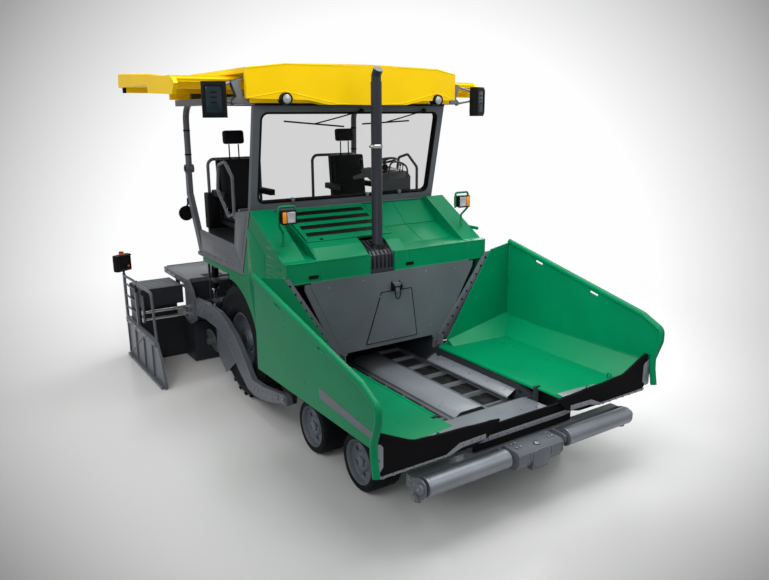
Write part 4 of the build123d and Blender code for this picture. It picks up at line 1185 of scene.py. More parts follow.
# ---------------------- push roller beam
@dataclass
class PushBeam(Group):
    """End brackets, caps, collars and the centre casting of the push roller beam."""

    roller: Flat = (3.0, 0.505)

    def build(self) -> None:
        """Makes the push beam's fine parts."""
        self.ends()
        self.centre()

    def ends(self) -> None:
        """End brackets of the beam with their bolts, and the collars of the rollers."""
        # Rounded bracket at the beam's end with a hub cap and a bump stop.
        x, z = self.roller
        outline = [(2.88, 0.445), (2.896, 0.372), (2.935, 0.352), (2.975, 0.372), (2.99, 0.425),
                   (3.038, 0.452), (3.052, 0.505), (3.036, 0.552), (2.996, 0.572), (2.94, 0.566),
                   (2.88, 0.546)]
        plate = Bench.sheet("beam_end_right", outline, "Y", -1.204, -1.186, 0.005)
        cap = Bench.rod("cap", (x, -1.2, z), (x, -1.234, z), 0.04, 0.006)
        stop = Bench.rod("stop", (2.935, -1.15, 0.4), (2.935, -1.226, 0.4), 0.036, 0.006)
        foot = Bench.block("foot", (2.804, -1.204, 0.452), (2.89, -1.186, 0.538), 0.004)
        self.pair(Bench.join("beam_end_right", [plate, cap, stop, foot]), GREY, "push_beam")
        spots = [(x, -1.234, z), (2.935, -1.226, 0.4), (2.85, -1.204, 0.475), (2.85, -1.204, 0.52),
                 (2.912, -1.204, 0.505)]
        self.pair(Bench.bolts("beam_end_bolts_right", spots, RIGHTWARD, 0.01), ZINC, "push_beam")
        # Polished collars at both ends of a roller.
        made = [Bench.rod("collar", (x, y0, z), (x, y1, z), 0.0795, 0.003, 56)
                for y0, y1 in ((-0.352, -0.372), (-1.146, -1.166))]
        self.pair(Bench.join("roller_collars_right", made), STEEL, "push_roller_right")

    def centre(self) -> None:
        """Centre casting with its bolts and the tow pin."""
        # Ribs, rounded nose and hook of the centre casting.
        outline = [(2.884, 0.5445), (3.04, 0.5445), (3.074, 0.52), (3.074, 0.44), (3.034, 0.376),
                   (2.884, 0.352)]
        outer = [Bench.sheet("rib", outline, "Y", a, b, 0.006) for a, b in ((-0.262, -0.24), (0.24, 0.262))]
        inner = [Bench.sheet("rib", [(3.03, 0.54), (3.0745, 0.518), (3.0745, 0.442), (3.03, 0.372)], "Y", y,
                             y + 0.02, 0.005) for y in (-0.13, 0.11)]
        boss = Bench.sheet("boss", [(-0.1, 0.41), (-0.06, 0.37), (0.06, 0.37), (0.1, 0.41), (0.1, 0.5),
                                    (0.06, 0.53), (-0.06, 0.53), (-0.1, 0.5)], "X", 3.06, 3.0755, 0.006)
        self.put(Bench.join("push_casting", [*outer, *inner, boss]), GREY, "push_beam")
        spots = [(x, y, 0.5445) for x in (2.915, 2.985) for y in (-0.205, -0.165, 0.165, 0.205)]
        self.put(Bench.bolts("casting_bolts", spots, UPWARD, 0.011), ZINC, "push_beam")
        # Pin through the tow hook with its head.
        pin = Bench.rod("tow_pin", (3.005, 0.0, 0.352), (3.005, 0.0, 0.564), 0.016)
        head = Bench.rod("head", (3.005, 0.0, 0.545), (3.005, 0.0, 0.56), 0.03, 0.004)
        self.put(Bench.join("tow_pin", [pin, head]), ZINC, "push_beam")


# ---------------------- body, hood and exhaust
@dataclass
class Bodywork(Group):
    """Seams, latches, ribs, grille, work lamps and the exhaust's fittings."""

    half: float = 1.25
    front_x: float = 0.895
    stack: Flat = (0.75, -0.125)

    def build(self) -> None:
        """Makes the body's fine parts."""
        self.front_wall()
        self.flanks()
        self.hood()
        self.work_lamps()
        self.exhaust()

    def front_wall(self) -> None:
        """Edges and latches of the green front wall."""
        # Rolled upper edges and panel joints of the green front wall.
        x = self.front_x
        spans = ((-1.208, -0.305), (0.005, 1.208))
        made = [Bench.rod("edge", (x - 0.006, a, 1.856), (x - 0.006, b, 1.856), 0.009, 0.002, 20)
                for a, b in spans]
        made += [Bench.rod("edge", (x - 0.004, a, 1.6575), (x - 0.004, b, 1.6575), 0.007, 0.002, 16)
                 for a, b in spans]
        for y in (-0.885, 0.16, 1.0, -0.305, 0.005):
            made.append(Bench.rod("joint", (x - 0.003, y, 1.662), (x - 0.003, y, 1.852), 0.0055, 0.001, 12))
        self.put(Bench.join("front_wall_edges", made), GREEN)
        # Black latch recesses in the front wall.
        frames = [Bench.block("front_latch", (x - 0.002, y - 0.052, 1.69), (x + 0.006, y + 0.052, 1.726),
                              0.003) for y in (0.19, -0.96)]
        made = [Bench.framed(frame, FORWARD, 0.001, (0.006, -0.0035)) for frame in frames]
        self.put(Bench.join("front_latches", made), BLACK)

    def flanks(self) -> None:
        """Ribs, service door, bolts and rounded edge of each flank."""
        y = self.half
        made = [Bench.sheet("rib", [(0.47, z), (0.76, z), (0.775, z + 0.02), (0.76, z + 0.038),
                                    (0.47, z + 0.038), (0.455, z + 0.02)], "Y", -y - 0.0045, -y + 0.002,
                            0.004) for z in (1.245 + 0.088 * k for k in range(9))]
        self.pair(Bench.join("side_ribs_right", made), GREEN)
        # Raised service door on the side panel.
        door = Bench.sheet("side_door_right", [
            (-0.02, 1.52), (0.12, 1.05), (0.42, 0.76), (0.8, 0.76), (0.8, 1.18), (0.41, 1.18), (0.41, 1.88),
            (0.06, 2.09), (-0.02, 2.09)], "Y", -y - 0.0035, -y + 0.001, 0.003)
        self.pair(Bench.framed(door, RIGHTWARD, 0.05, (0.018, 0.0), (0.006, 0.0025)), GREEN)
        y = -self.half
        spots = [(0.845, y, 0.9 + 0.118 * k) for k in range(8)]
        spots += [(x, y, 1.585) for x in (-0.16, -0.1)]
        spots += [(0.2, y - 0.0035, 1.1), (0.72, y - 0.0035, 0.8), (0.05, y - 0.0035, 1.98)]
        self.pair(Bench.bolts("side_bolts_right", spots, RIGHTWARD, 0.008), ZINC)
        # Rounded edge along the flat cheek.
        y = -self.half + 0.006
        points = ((-0.045, 2.236), (0.0, 2.27), (0.1, 2.284), (0.8, 1.8625), (0.89, 1.8565))
        made = Bench.chain(y, points, 0.0085, 0.001, 18)
        made += Bench.chain(-1.002, [(x, z + 0.001) for x, z in points[2:]], 0.006, 0.001, 14)
        self.pair(Bench.join("cheek_edges_right", made), GREEN)

    def hood(self) -> None:
        """Joints of the deck, and the grille, edges and latches of the hood."""
        # Dark joints in the sunk deck beside the lid.
        made = Bench.chain(0.56, ((0.005, 2.2665), (0.3, 2.0205), (0.62, 1.8805)), 0.0022, 0.0005, 10)
        made.append(Bench.rod("seam", (0.3, 0.176, 2.0215), (0.3, 0.99, 2.0215), 0.0022, 0.0005, 10))
        self.put(Bench.join("deck_joints", made), BLACK)
        # Black ribbed mesh in the louvres of the lid.
        turn = math.radians(24.0)
        along, up = (math.cos(turn), -math.sin(turn)), (math.sin(turn), math.cos(turn))
        made = []
        for k in range(4):
            x = 0.125 + 0.125 * k
            z = 2.262 - (x - 0.03) * 258.0 / 585.0
            ends = ((-0.036, 0.0016), (0.036, 0.0016), (0.036, 0.0002), (0.0284, 0.0002), (0.0284, -0.007),
                    (-0.0284, -0.007), (-0.0284, 0.0002), (-0.036, 0.0002))
            outline = [(x + a * along[0] + n * up[0], z + a * along[1] + n * up[1]) for a, n in ends]
            made.append(Bench.sheet("lid_grille", outline, "Y", -0.8118, 0.0868, 0.0004))
            ends = [(x + a * along[0] + 0.0016 * up[0], z + a * along[1] + 0.0016 * up[1])
                    for a in (-0.03, 0.03)]
            for rib in range(17):
                made += Bench.chain(-0.786 + 0.053 * rib, ends, 0.0022, 0.0005, 8)
        self.put(Bench.join("lid_grille", made), BLACK, "hood_lid")
        # Rolled edges round the lid.
        a, b = (0.034, 2.26), (0.612, 2.0035)
        made = [bar for y in (-0.866, 0.141) for bar in Bench.chain(y, (a, b), 0.007, 0.001, 16)]
        made.append(Bench.rod("edge", (b[0], -0.866, b[1]), (b[0], 0.141, b[1]), 0.007, 0.001, 16))
        self.put(Bench.join("lid_edges", made), GREEN, "hood_lid")
        # Two rubber latches at the lower edge of the lid.
        made = [Bench.block("lid_latches", (0.578, y - 0.018, 2.006), (0.606, y + 0.018, 2.023), 0.004)
                for y in (-0.7, 0.02)]
        self.put(Bench.join("lid_latches", made), BLACK, "hood_lid")

    def work_lamps(self) -> None:
        """Work lamps with their indicators on the flanks."""
        lens = Bench.block("work_lamp_lens_right", (0.684, -1.122, 2.226), (0.699, -1.034, 2.334), 0.006)
        self.pair(Bench.framed(lens, FORWARD, 0.002, (0.01, -0.004)), LENS)
        # Amber indicator beside the work lamp.
        self.pair(Bench.block("indicator_right", (0.684, -1.17, 2.226), (0.702, -1.13, 2.334), 0.006), AMBER)
        # Housing rim and the stalk of a work lamp.
        outer = Bench.block("work_lamp_rim_right", (0.68, -1.181, 2.212), (0.694, -1.019, 2.348), 0.004)
        tool = Bench.block("tool", (0.67, -1.172, 2.223), (0.71, -1.03, 2.337), 0.002)
        Bench.carve(outer, [tool])
        stalk = Bench.rod("stalk", (0.64, -1.19, 2.28), (0.64, -1.16, 2.28), 0.02, 0.003)
        back = Bench.block("back", (0.585, -1.15, 2.238), (0.604, -1.05, 2.322), 0.008)
        self.pair(Bench.join("work_lamp_rim_right", [outer, stalk, back]), PLASTIC)

    def exhaust(self) -> None:
        """Clamp, foot and folded boot of the exhaust."""
        # Bright clamp ring round the exhaust with its bolt.
        profile = [(0.0555, -0.016), (0.06, -0.018), (0.0635, -0.014), (0.0635, 0.014), (0.06, 0.018),
                   (0.0555, 0.016)]
        ring = Bench.spun("stack_clamp", profile, (*self.stack, 2.93), "Z", 48)
        ear = Bench.block("ear", (0.735, -0.205, 2.918), (0.765, -0.178, 2.942), 0.003)
        bolt = Bench.rod("bolt", (0.722, -0.194, 2.93), (0.778, -0.194, 2.93), 0.006)
        self.put(Bench.join("stack_clamp", [ring, ear, bolt]), CHROME)
        # Flange at the foot of the exhaust.
        profile = [(0.0555, 0.0), (0.086, 0.0), (0.088, 0.004), (0.07, 0.05), (0.06, 0.056), (0.0555, 0.056)]
        self.put(Bench.spun("stack_foot", profile, (*self.stack, 1.88), "Z", 48), BLACK)
        # Folds of the black boot round the exhaust's foot.
        points = [(0.65, 1.957), (0.76, 1.916), (0.842, 1.876), (0.88, 1.838), (0.882, 1.7)]
        made = [Bench.pipe("fold", [(x, y, z) for x, z in points], 0.01)
                for y in (-0.265, -0.215, -0.165, -0.115, -0.065, -0.03)]
        self.put(Bench.join("boot_folds", made), PLASTIC)


# ---------------------- windscreen, roof and mirrors
def rounded(width: float, height: float, radius: float, steps: int = 6) -> list[Flat]:
    """Rectangle with round corners, about the middle of its lower edge.

    Args:
        width: Its width.
        height: Its height.
        radius: Radius of the corners.
        steps: Steps in each corner.

    Returns:
        The corners.
    """
    made = []
    for a, b, start in ((1.0, 1.0, 0.0), (-1.0, 1.0, 90.0), (-1.0, -1.0, 180.0), (1.0, -1.0, 270.0)):
        middle = (a * (width / 2.0 - radius), height / 2.0 + b * (height / 2.0 - radius))
        for k in range(steps + 1):
            turn = math.radians(start + 90.0 * k / steps)
            made.append((middle[0] + radius * math.cos(turn), middle[1] + radius * math.sin(turn)))
    return made


@dataclass
class Screen(Group):
    """Gasket, clips, wipers and sill of the leaning windscreen."""

    foot: Point = (-0.076, 0.0, 2.268)
    lean: float = 11.8

    def build(self) -> None:
        """Makes the windscreen's fine parts."""
        self.fittings()

    def stand(self, piece: Piece) -> Piece:
        """Moves a piece drawn upright at the origin onto the leaning screen."""
        return Bench.moved(piece, self.foot, (0.0, math.radians(self.lean), 0.0))

    def fittings(self) -> None:
        """Gasket, clips, wipers and sill of the windscreen."""
        # Rubber section round the glass.
        grown = [(y, z + 0.0735) for y, z in rounded(2.232, 0.958, 0.08)]
        cut = [(y, z + 0.094) for y, z in rounded(2.19, 0.917, 0.062)]
        ring = Bench.sheet("screen_gasket", grown, "X", -0.034, 0.034, 0.004)
        Bench.carve(ring, [Bench.sheet("tool", cut, "X", -0.06, 0.06, 0.0)])
        self.put(self.stand(ring), FLAP)
        made = [Bench.block("clip", (0.004, y - 0.02, 0.06), (0.04, y + 0.02, 0.115), 0.005)
                for y in (-0.7, 0.25, 0.33, 0.7)]
        self.put(self.stand(Bench.join("screen_clips", made)), ZINC)
        # Two wipers parked along the top of the glass.
        made = []
        for root, tip, blade in ((0.06, -0.18, ((-0.86, 0.942), (-0.15, 0.88))),
                                 (0.9, 0.66, ((0.08, 0.905), (0.7, 0.935)))):
            made.append(Bench.rod("hub", (0.026, root, 1.052), (0.06, root, 1.052), 0.02, 0.003))
            middle = ((blade[0][0] + blade[1][0]) / 2.0, (blade[0][1] + blade[1][1]) / 2.0)
            made.append(Bench.pipe("arm", [(0.052, root, 1.052), (0.062, tip, 0.99),
                                           (0.05, middle[0], middle[1] + 0.004)], 0.007))
            a, b = blade
            made.append(Bench.rod("blade", (0.046, a[0], a[1]), (0.046, b[0], b[1]), 0.0085, 0.002, 12))
            made.append(Bench.rod("blade", (0.038, a[0], a[1] - 0.004), (0.038, b[0], b[1] - 0.004), 0.0045,
                                  0.001, 8))
        self.put(self.stand(Bench.join("wipers", made)), BLACK)
        # Folded plate at the foot of the screen.
        plate = Bench.sheet("screen_sill", [
            (-0.09, 2.2425), (-0.012, 2.25), (0.03, 2.264), (0.028, 2.272), (-0.014, 2.26), (-0.09, 2.252)],
                            "Y", -1.18, 1.18, 0.002)
        self.put(plate, GREY)


@dataclass
class Roof(Group):
    """Headlights, ribs and rims of the roof, edges of its canopies and fittings of the mirrors."""

    mirror: Point = (0.26, -1.62, 3.385)
    headlamp: Point = (0.398, -0.934, 3.395)
    canopy_y: float = -1.88
    bracket_y: float = -1.24

    def build(self) -> None:
        """Makes the roof's fine parts."""
        self.shell()
        self.canopies()
        self.mirrors()
        self.trim()

    def shell(self) -> None:
        """Headlights, pressed ribs and trim of the roof."""
        # Round lens of a roof headlight.
        profile = [(0.002, -0.004), (0.046, -0.004), (0.046, 0.004), (0.034, 0.013), (0.018, 0.017),
                   (0.002, 0.018)]
        self.pair(Bench.spun("headlight_lens_right", profile, self.headlamp, "X", 40), LENS)
        # Black ring and housing round the headlight.
        profile = [(0.044, -0.09), (0.058, -0.09), (0.06, -0.01), (0.058, 0.01), (0.048, 0.01),
                   (0.045, 0.004)]
        self.pair(Bench.spun("headlight_ring_right", profile, self.headlamp, "X", 40), BLACK)
        # Long shallow ribs pressed into the roof's top and its side rim.
        made = [Bench.block("rib", (-2.06, y - 0.05, z - 0.012), (0.12, y + 0.05, z + 0.003), 0.004)
                for y, z in ((-1.1, 3.7095), (-0.7, 3.7318), (-0.3, 3.7362))]
        self.pair(Bench.join("roof_ribs_right", made), YELLOW)
        # Dark trim between the roof's front and the windscreen.
        self.put(Bench.block("roof_header", (0.15, -1.17, 3.334), (0.212, 1.17, 3.352), 0.004), BLACK)

    def canopies(self) -> None:
        """Edges and rail caps of the sliding canopies."""
        # Rolled edges of a sliding canopy.
        y = self.canopy_y
        points = ((-2.126, 3.598), (-2.108, 3.706), (-0.91, 3.654), (-0.092, 3.592))
        made = Bench.chain(y, points, 0.0145, 0.002, 20)
        made += [Bench.rod("edge", (x, -1.86, 3.59), (x, -1.19, 3.59), 0.015, 0.002, 20)
                 for x in (-0.144, -2.116)]
        made += [Bench.block("rib", (-1.96, rib - 0.03, 3.612), (-0.3, rib + 0.03, 3.625), 0.004)
                 for rib in (-1.7, -1.48)]
        self.pair(Bench.join("canopy_edges_right", made), YELLOW, "canopy_right")
        # End caps of the canopy's rails.
        made = [Bench.block("cap", (x - 0.024, -1.898, 3.497), (x + 0.024, -1.862, 3.558), 0.005)
                for x in (-1.95, -0.28)]
        self.pair(Bench.join("canopy_caps_right", made), BLACK, "canopy_right")

    def turned(self, piece: Piece) -> Piece:
        """Moves a piece drawn about the origin to the mirror's head."""
        return Bench.moved(piece, self.mirror, (0.0, 0.0, math.radians(-25.0)))

    def mirrors(self) -> None:
        """Glass, rim, clamps and arms of the mirrors."""
        # Dark face in the front of the mirror's head and the glass at its back.
        front = [(y, z - 0.12) for y, z in rounded(0.15, 0.24, 0.022)]
        face = Bench.sheet("mirror_face_right", front, "X", 0.046, 0.0535, 0.002)
        glass = Bench.sheet("glass", [(y, z - 0.14) for y, z in rounded(0.19, 0.28, 0.026)], "X", -0.0525,
                            -0.046, 0.002)
        self.pair(self.turned(Bench.join("mirror_face_right", [face, glass])), MIRROR)
        # Rim round the mirror's front face with three short bars on it.
        ring = Bench.sheet("mirror_rim_right", [(y, z - 0.152) for y, z in rounded(0.212, 0.304, 0.034)], "X",
                           0.044, 0.0575, 0.004)
        tool = Bench.sheet("tool", [(y, z - 0.128) for y, z in rounded(0.164, 0.256, 0.026)], "X", 0.03, 0.08,
                           0.0)
        Bench.carve(ring, [tool])
        bars = [Bench.block("bar", (0.053, -0.03, z), (0.0565, 0.03, z + 0.014), 0.002)
                for z in (-0.03, 0.015, 0.06)]
        self.pair(self.turned(Bench.join("mirror_rim_right", [ring, *bars])), PLASTIC)
        # Clamps where the mirror's stays meet the bracket.
        made = [Bench.rod("clamp", (0.15, -1.4, z - 0.022), (0.15, -1.4, z + 0.022), 0.018, 0.003)
                for z in (3.362, 3.555)]
        made.append(Bench.rod("stay", (0.16, -1.32, 3.42), (0.16, -1.33, 3.56), 0.01, 0.002))
        self.pair(Bench.join("mirror_clamps_right", made), GREY)
        # Sleeves of the mirror's two arms and the bright face of its bracket.
        y = self.bracket_y
        made = [Bench.rod("mirror_arms_right", (0.15, y - 0.16, z0), (0.255, y - 0.34, z1), 0.0125, 0.002, 18)
                for z0, z1 in ((3.362, 3.4), (3.555, 3.49))]
        face = [(0.0, 3.354), (0.0, 3.418), (-0.06, 3.418), (-0.088, 3.54), (-0.052, 3.58), (-0.052, 3.596),
                (-0.176, 3.557), (-0.124, 3.42), (-0.176, 3.374), (-0.176, 3.354)]
        made.append(Bench.sheet("face", [(y + a, z) for a, z in face], "X", 0.1795, 0.1845, 0.001))
        self.pair(Bench.join("mirror_arms_right", made), LIGHT)

    def trim(self) -> None:
        """Rims of the roof's front and fittings of its posts."""
        # Pressed ledge along the lower edge of the roof's front and its upper rim.
        plan = ((0.252, -1.284), (0.366, -0.934), (0.44, -0.4), (0.446, 0.0), (0.44, 0.4), (0.366, 0.934),
                (0.252, 1.284))
        upper = {1.284: 3.68, 0.934: 3.722, 0.4: 3.722, 0.0: 3.722}
        lower = {1.284: 3.404, 0.934: 3.468, 0.4: 3.352, 0.0: 3.346}
        made = [Bench.rod("rim", (a[0] - back, a[1], level[abs(a[1])]), (b[0] - back, b[1], level[abs(b[1])]),
                          radius, 0.002, 16) for back, level, radius in (
            (0.008, upper, 0.011), (0.006, lower, 0.009)) for a, b in zip(plan[:-1], plan[1:])]
        self.put(Bench.join("fascia_rims", made), YELLOW)
        # Knee joint bolts and cable clips of a roof post.
        caps = [Bench.rod("cap", (-1.885, y0, 2.6), (-1.885, y1, 2.6), 0.034, 0.004)
                for y0, y1 in ((-1.248, -1.258), (-1.152, -1.142))]
        clips = [Bench.rod("clip", (-1.8845 + dx, -1.2, z), (-1.8845 + dx, -1.2, z + 0.022), 0.042, 0.003)
                 for dx, z in ((0.0, 2.76), (0.005, 3.05))]
        self.pair(Bench.join("post_fittings_right", caps + clips), BLACK)


# ---------------------- operator's stand
@dataclass
class Stand(Group):
    """Padded seats, console fittings, panels and steps of the operator's stand."""

    seat: Flat = (-1.08, -0.78)
    bottle: Flat = (-1.47, 0.3)
    sill_y: float = -1.25

    def build(self) -> None:
        """Makes the operator's stand's fine parts."""
        for side in SIDES:
            self.cushions(side)
        self.seats()
        self.console()
        self.sills()
        self.stowed()

    def crown(self, name: str, low: Point, high: Point, crowned: str, rise: float) -> Piece:
        """A padded block: subdivided, rounded and swollen towards one face, with a sewn groove round its rim.

        Args:
            name: Name of the piece.
            low: One corner.
            high: The other corner.
            crowned: Axis along which it swells.
            rise: How far the middle swells.

        Returns:
            The piece.
        """
        Bench.clear()
        middle = Vector([(a + b) / 2.0 for a, b in zip(low, high)])
        bpy.ops.mesh.primitive_cube_add(size=1.0, location=middle)
        piece = bpy.context.object
        piece.scale = [abs(b - a) for a, b in zip(low, high)]
        Bench.settle(piece, name)
        Bench.edit(piece)
        bpy.ops.mesh.bevel(offset=0.028, segments=3, affect="EDGES")
        bpy.ops.mesh.select_all(action="SELECT")
        bpy.ops.mesh.subdivide(number_cuts=5)
        Bench.done()
        across = [k for k in range(3) if "XYZ"[k] != crowned]
        along = "XYZ".index(crowned)
        half = [abs(b - a) / 2.0 for a, b in zip(low, high)]
        for corner in piece.data.vertices:
            offset = corner.co - middle
            fall = [max(0.0, 1.0 - (offset[k] / half[k]) ** 2) for k in across]
            swell = rise * math.sqrt(fall[0] * fall[1])
            if offset[along] > 0.0:
                groove = 0.004 * sum(math.exp(-((abs(offset[k]) / half[k] - 0.74) / 0.035) ** 2)
                                     for k in across)
                corner.co[along] += swell - groove
        Bench.only(piece)
        smooth = piece.modifiers.new("smooth", "SUBSURF")
        smooth.levels = 1
        bpy.ops.object.modifier_apply(modifier=smooth.name)
        bpy.ops.object.shade_smooth()
        return piece

    def cushions(self, side: str) -> None:
        """Seat pad, back pad and headrest of one seat, in place of the plain ones.

        Args:
            side: right or left.
        """
        x, y = self.seat
        y *= -SIDES[side]
        body = f"seat_{side}"
        pad = self.crown(f"seat_pad_{side}", (x - 0.235, y - 0.23, 2.0105), (x + 0.262, y + 0.23, 2.112), "Z",
                         0.02)
        self.put(pad, SEAT, body, f"seat_cushions_{side}")
        back = self.crown(f"seat_back_{side}", (-0.06, -0.218, 0.0), (0.052, 0.218, 0.605), "X", 0.022)
        Bench.moved(back, (x - 0.204, y, 2.126), (0.0, math.radians(-6.4), 0.0))
        self.put(back, SEAT, body)
        rest = self.crown(f"headrest_{side}", (-0.048, -0.128, -0.08), (0.04, 0.128, 0.08), "X", 0.012)
        Bench.moved(rest, (x - 0.35, y, 2.984), (0.0, math.radians(-5.0), 0.0))
        self.put(rest, SEAT, body)

    def seats(self) -> None:
        """Hard fittings of each seat."""
        # Sleeves of the headrest's stalks and the seat's rails.
        x, y = self.seat
        made = [Bench.rod("sleeve", (x - 0.344, y + dy, 2.7), (x - 0.3455, y + dy, 2.742), 0.017, 0.003)
                for dy in (-0.06, 0.06)]
        made += [Bench.block("rail", (x - 0.22, y + dy - 0.018, 1.938), (x + 0.22, y + dy + 0.018, 1.962),
                             0.004) for dy in (-0.19, 0.19)]
        made.append(Bench.rod("lever", (x + 0.2, y - 0.12, 1.95), (x + 0.29, y - 0.12, 1.962), 0.008))
        self.pair(Bench.join("seat_fittings_right", made), BLACK, "seat_right")
        # Soft tops of the armrests.
        made = [Bench.block("arm_pad", (x - 0.335, y + s * 0.292 - 0.034, 2.338),
                            (x + 0.09, y + s * 0.292 + 0.034, 2.372), 0.014) for s in (-1.0, 1.0)]
        self.pair(Bench.join("arm_pads_right", made), PLASTIC, "seat_right")
        # Moulded back cover of the seat.
        cover = Bench.block("seat_cover_right", (-0.024, -0.236, 0.0), (0.012, 0.236, 0.74), 0.022)
        self.pair(Bench.moved(cover, (x - 0.3, y, 1.99), (0.0, math.radians(-5.6), 0.0)), PLASTIC,
                  "seat_right")

    def console(self) -> None:
        """Panel, stop knob, levers and rims of the console."""
        # Black panel with display and key rows on the console's slanted desk, and the stop knob.
        made = [Bench.block("panel", (-0.18, 0.61, -0.002), (0.18, 0.95, 0.006), 0.003),
                Bench.block("display", (-0.06, 0.7, 0.004), (0.11, 0.86, 0.01), 0.002)]
        for row in range(3):
            for column in range(7):
                x, y = -0.155 + 0.03 * row, 0.64 + 0.047 * column
                made.append(Bench.block("key", (x - 0.01, y - 0.014, 0.004), (x + 0.01, y + 0.014, 0.012),
                                        0.002))
        self.put(Bench.moved(Bench.join("console_face", made), (-0.455, 0.0, 2.5815),
                             (0.0, math.radians(5.6), 0.0)), PLASTIC, "console")
        self.put(Bench.rod("stop_knob", (-0.33, 0.65, 2.568), (-0.327, 0.65, 2.6), 0.02, 0.006), ORANGE,
                 "console")
        # Joystick, levers and the wheel's column boot.
        stick = Bench.pipe("levers", [(-0.76, 0.625, 2.53), (-0.762, 0.625, 2.58), (-0.772, 0.625, 2.64)],
                           0.008)
        grip = Bench.block("grip", (-0.795, 0.6, 2.625), (-0.752, 0.65, 2.705), 0.016)
        boot = Bench.rod("boot", (-0.76, 0.625, 2.528), (-0.761, 0.625, 2.556), 0.034, 0.01)
        column = Bench.rod("column", (-0.45, 0.78, 2.585), (-0.463, 0.78, 2.64), 0.038, 0.008)
        levers = [Bench.rod("lever", (-0.28, y, 2.56), (-0.268, y, 2.64), 0.006) for y in (0.88, 0.92)]
        knobs = [Bench.rod("knob", (-0.268, y, 2.636), (-0.265, y, 2.662), 0.013, 0.005)
                 for y in (0.88, 0.92)]
        self.put(Bench.join("console_levers", [stick, grip, boot, column, *levers, *knobs]), BLACK, "console")
        # Rounded rims of the console's sides and the handle in front of it.
        points = ((-0.42, 2.44), (-0.7, 2.56), (-0.662, 2.597), (-0.252, 2.557), (-0.184, 2.5))
        made = [bar for y in (0.592, 0.968) for bar in Bench.chain(y, points, 0.01, 0.002, 16)]
        made.append(Bench.pipe("handle", [(-0.19, 0.64, 2.5), (-0.15, 0.645, 2.56), (-0.18, 0.66, 2.66),
                                          (-0.25, 0.78, 2.7), (-0.18, 0.9, 2.66), (-0.15, 0.915, 2.56),
                                          (-0.19, 0.92, 2.5)], 0.011))
        self.put(Bench.join("console_rims", made), GREY, "console")

    def sills(self) -> None:
        """Panels, bolts and steps at the sides of the stand."""
        # Raised panels on the grey side sill with a rounded edge along the top.
        y = self.sill_y
        panel = Bench.sheet("sill_panel_right", [
            (-1.45, 1.64), (-1.45, 1.84), (-0.44, 1.815), (-0.26, 1.7), (-0.23, 1.64)], "Y", y - 0.0035,
                            y + 0.001, 0.003)
        upper = Bench.sheet("upper", [(-0.24, 1.74), (-0.35, 1.86), (-0.29, 2.18), (-0.02, 2.225),
                                      (-0.13, 1.9), (-0.19, 1.74)], "Y", y - 0.0035, y + 0.001, 0.003)
        for piece in (panel, upper):
            Bench.framed(piece, RIGHTWARD, 0.02, (0.014, 0.0), (0.005, 0.002))
        edge = Bench.chain(-1.234, ((-1.478, 1.879), (-0.4, 1.85), (-0.311, 2.228)), 0.0125, 0.002, 18)
        self.pair(Bench.join("sill_panel_right", [panel, upper, *edge]), GREY)
        spots = [(-1.42 + 0.19 * k, y, 1.618) for k in range(6)] + [(-1.462, y, 1.74)]
        self.pair(Bench.bolts("sill_bolts_right", spots, RIGHTWARD, 0.008), ZINC)
        # Ladder rungs behind the rear tyre.
        made = [Bench.block("step", (-1.53, -1.16, z), (-1.33, -0.88, z + 0.03), 0.006)
                for z in (0.96, 1.23, 1.48)]
        made += [Bench.block("stringer", (-1.552, y - 0.012, 0.9), (-1.52, y + 0.012, 1.57), 0.004)
                 for y in (-1.15, -0.89)]
        self.pair(Bench.join("steps_right", made), DARK)

    def stowed(self) -> None:
        """Mat, cabinet, lamp and fire extinguisher on the stand."""
        # Ribbed rubber mat on the operator's floor.
        mat = Bench.block("floor_mat", (-1.56, -1.18, 1.5995), (-0.2, 1.18, 1.606), 0.002)
        ribs = [Bench.block("rib", (-1.54, y - 0.008, 1.604), (-0.22, y + 0.008, 1.6095), 0.0015)
                for y in [-1.14 + 0.06 * k for k in range(39)]]
        self.put(Bench.join("floor_mat", [mat, *ribs]), PAD)
        # Black box behind the right-hand seat.
        box = Bench.block("stand_cabinet", (-1.56, -1.15, 1.895), (-1.42, -0.9, 2.33), 0.014)
        door = Bench.block("door", (-1.425, -1.13, 1.93), (-1.412, -0.92, 2.3), 0.005)
        hinge = [Bench.rod("hinge", (-1.413, -1.12, z), (-1.413, -1.12, z + 0.05), 0.008)
                 for z in (1.98, 2.2)]
        catch = Bench.block("catch", (-1.414, -0.95, 2.09), (-1.402, -0.93, 2.14), 0.003)
        self.put(Bench.join("stand_cabinet", [box, door, *hinge, catch]), BLACK)
        # Round work lamp on its arm at the right rear post.
        arm = Bench.pipe("post_lamp_arm", [
            (-1.905, -1.225, 2.18), (-1.96, -1.235, 2.14), (-2.01, -1.24, 2.08)], 0.012)
        head = Bench.spun("head", [(0.003, -0.06), (0.06, -0.055), (0.09, -0.02), (0.096, 0.01),
                                   (0.092, 0.026), (0.082, 0.026), (0.074, 0.014), (0.003, 0.014)],
                          (-2.02, -1.235, 2.03), "X", 40)
        clamp = Bench.block("clamp", (-1.935, -1.246, 2.15), (-1.89, -1.19, 2.23), 0.006)
        self.put(Bench.join("post_lamp", [arm, head, clamp]), PLASTIC)
        profile = [(0.002, 0.0), (0.07, 0.0), (0.075, 0.006), (0.075, 0.38), (0.06, 0.42), (0.026, 0.44),
                   (0.002, 0.441)]
        self.put(Bench.spun("extinguisher", profile, (*self.bottle, 1.6055), "Z", 36), RED)
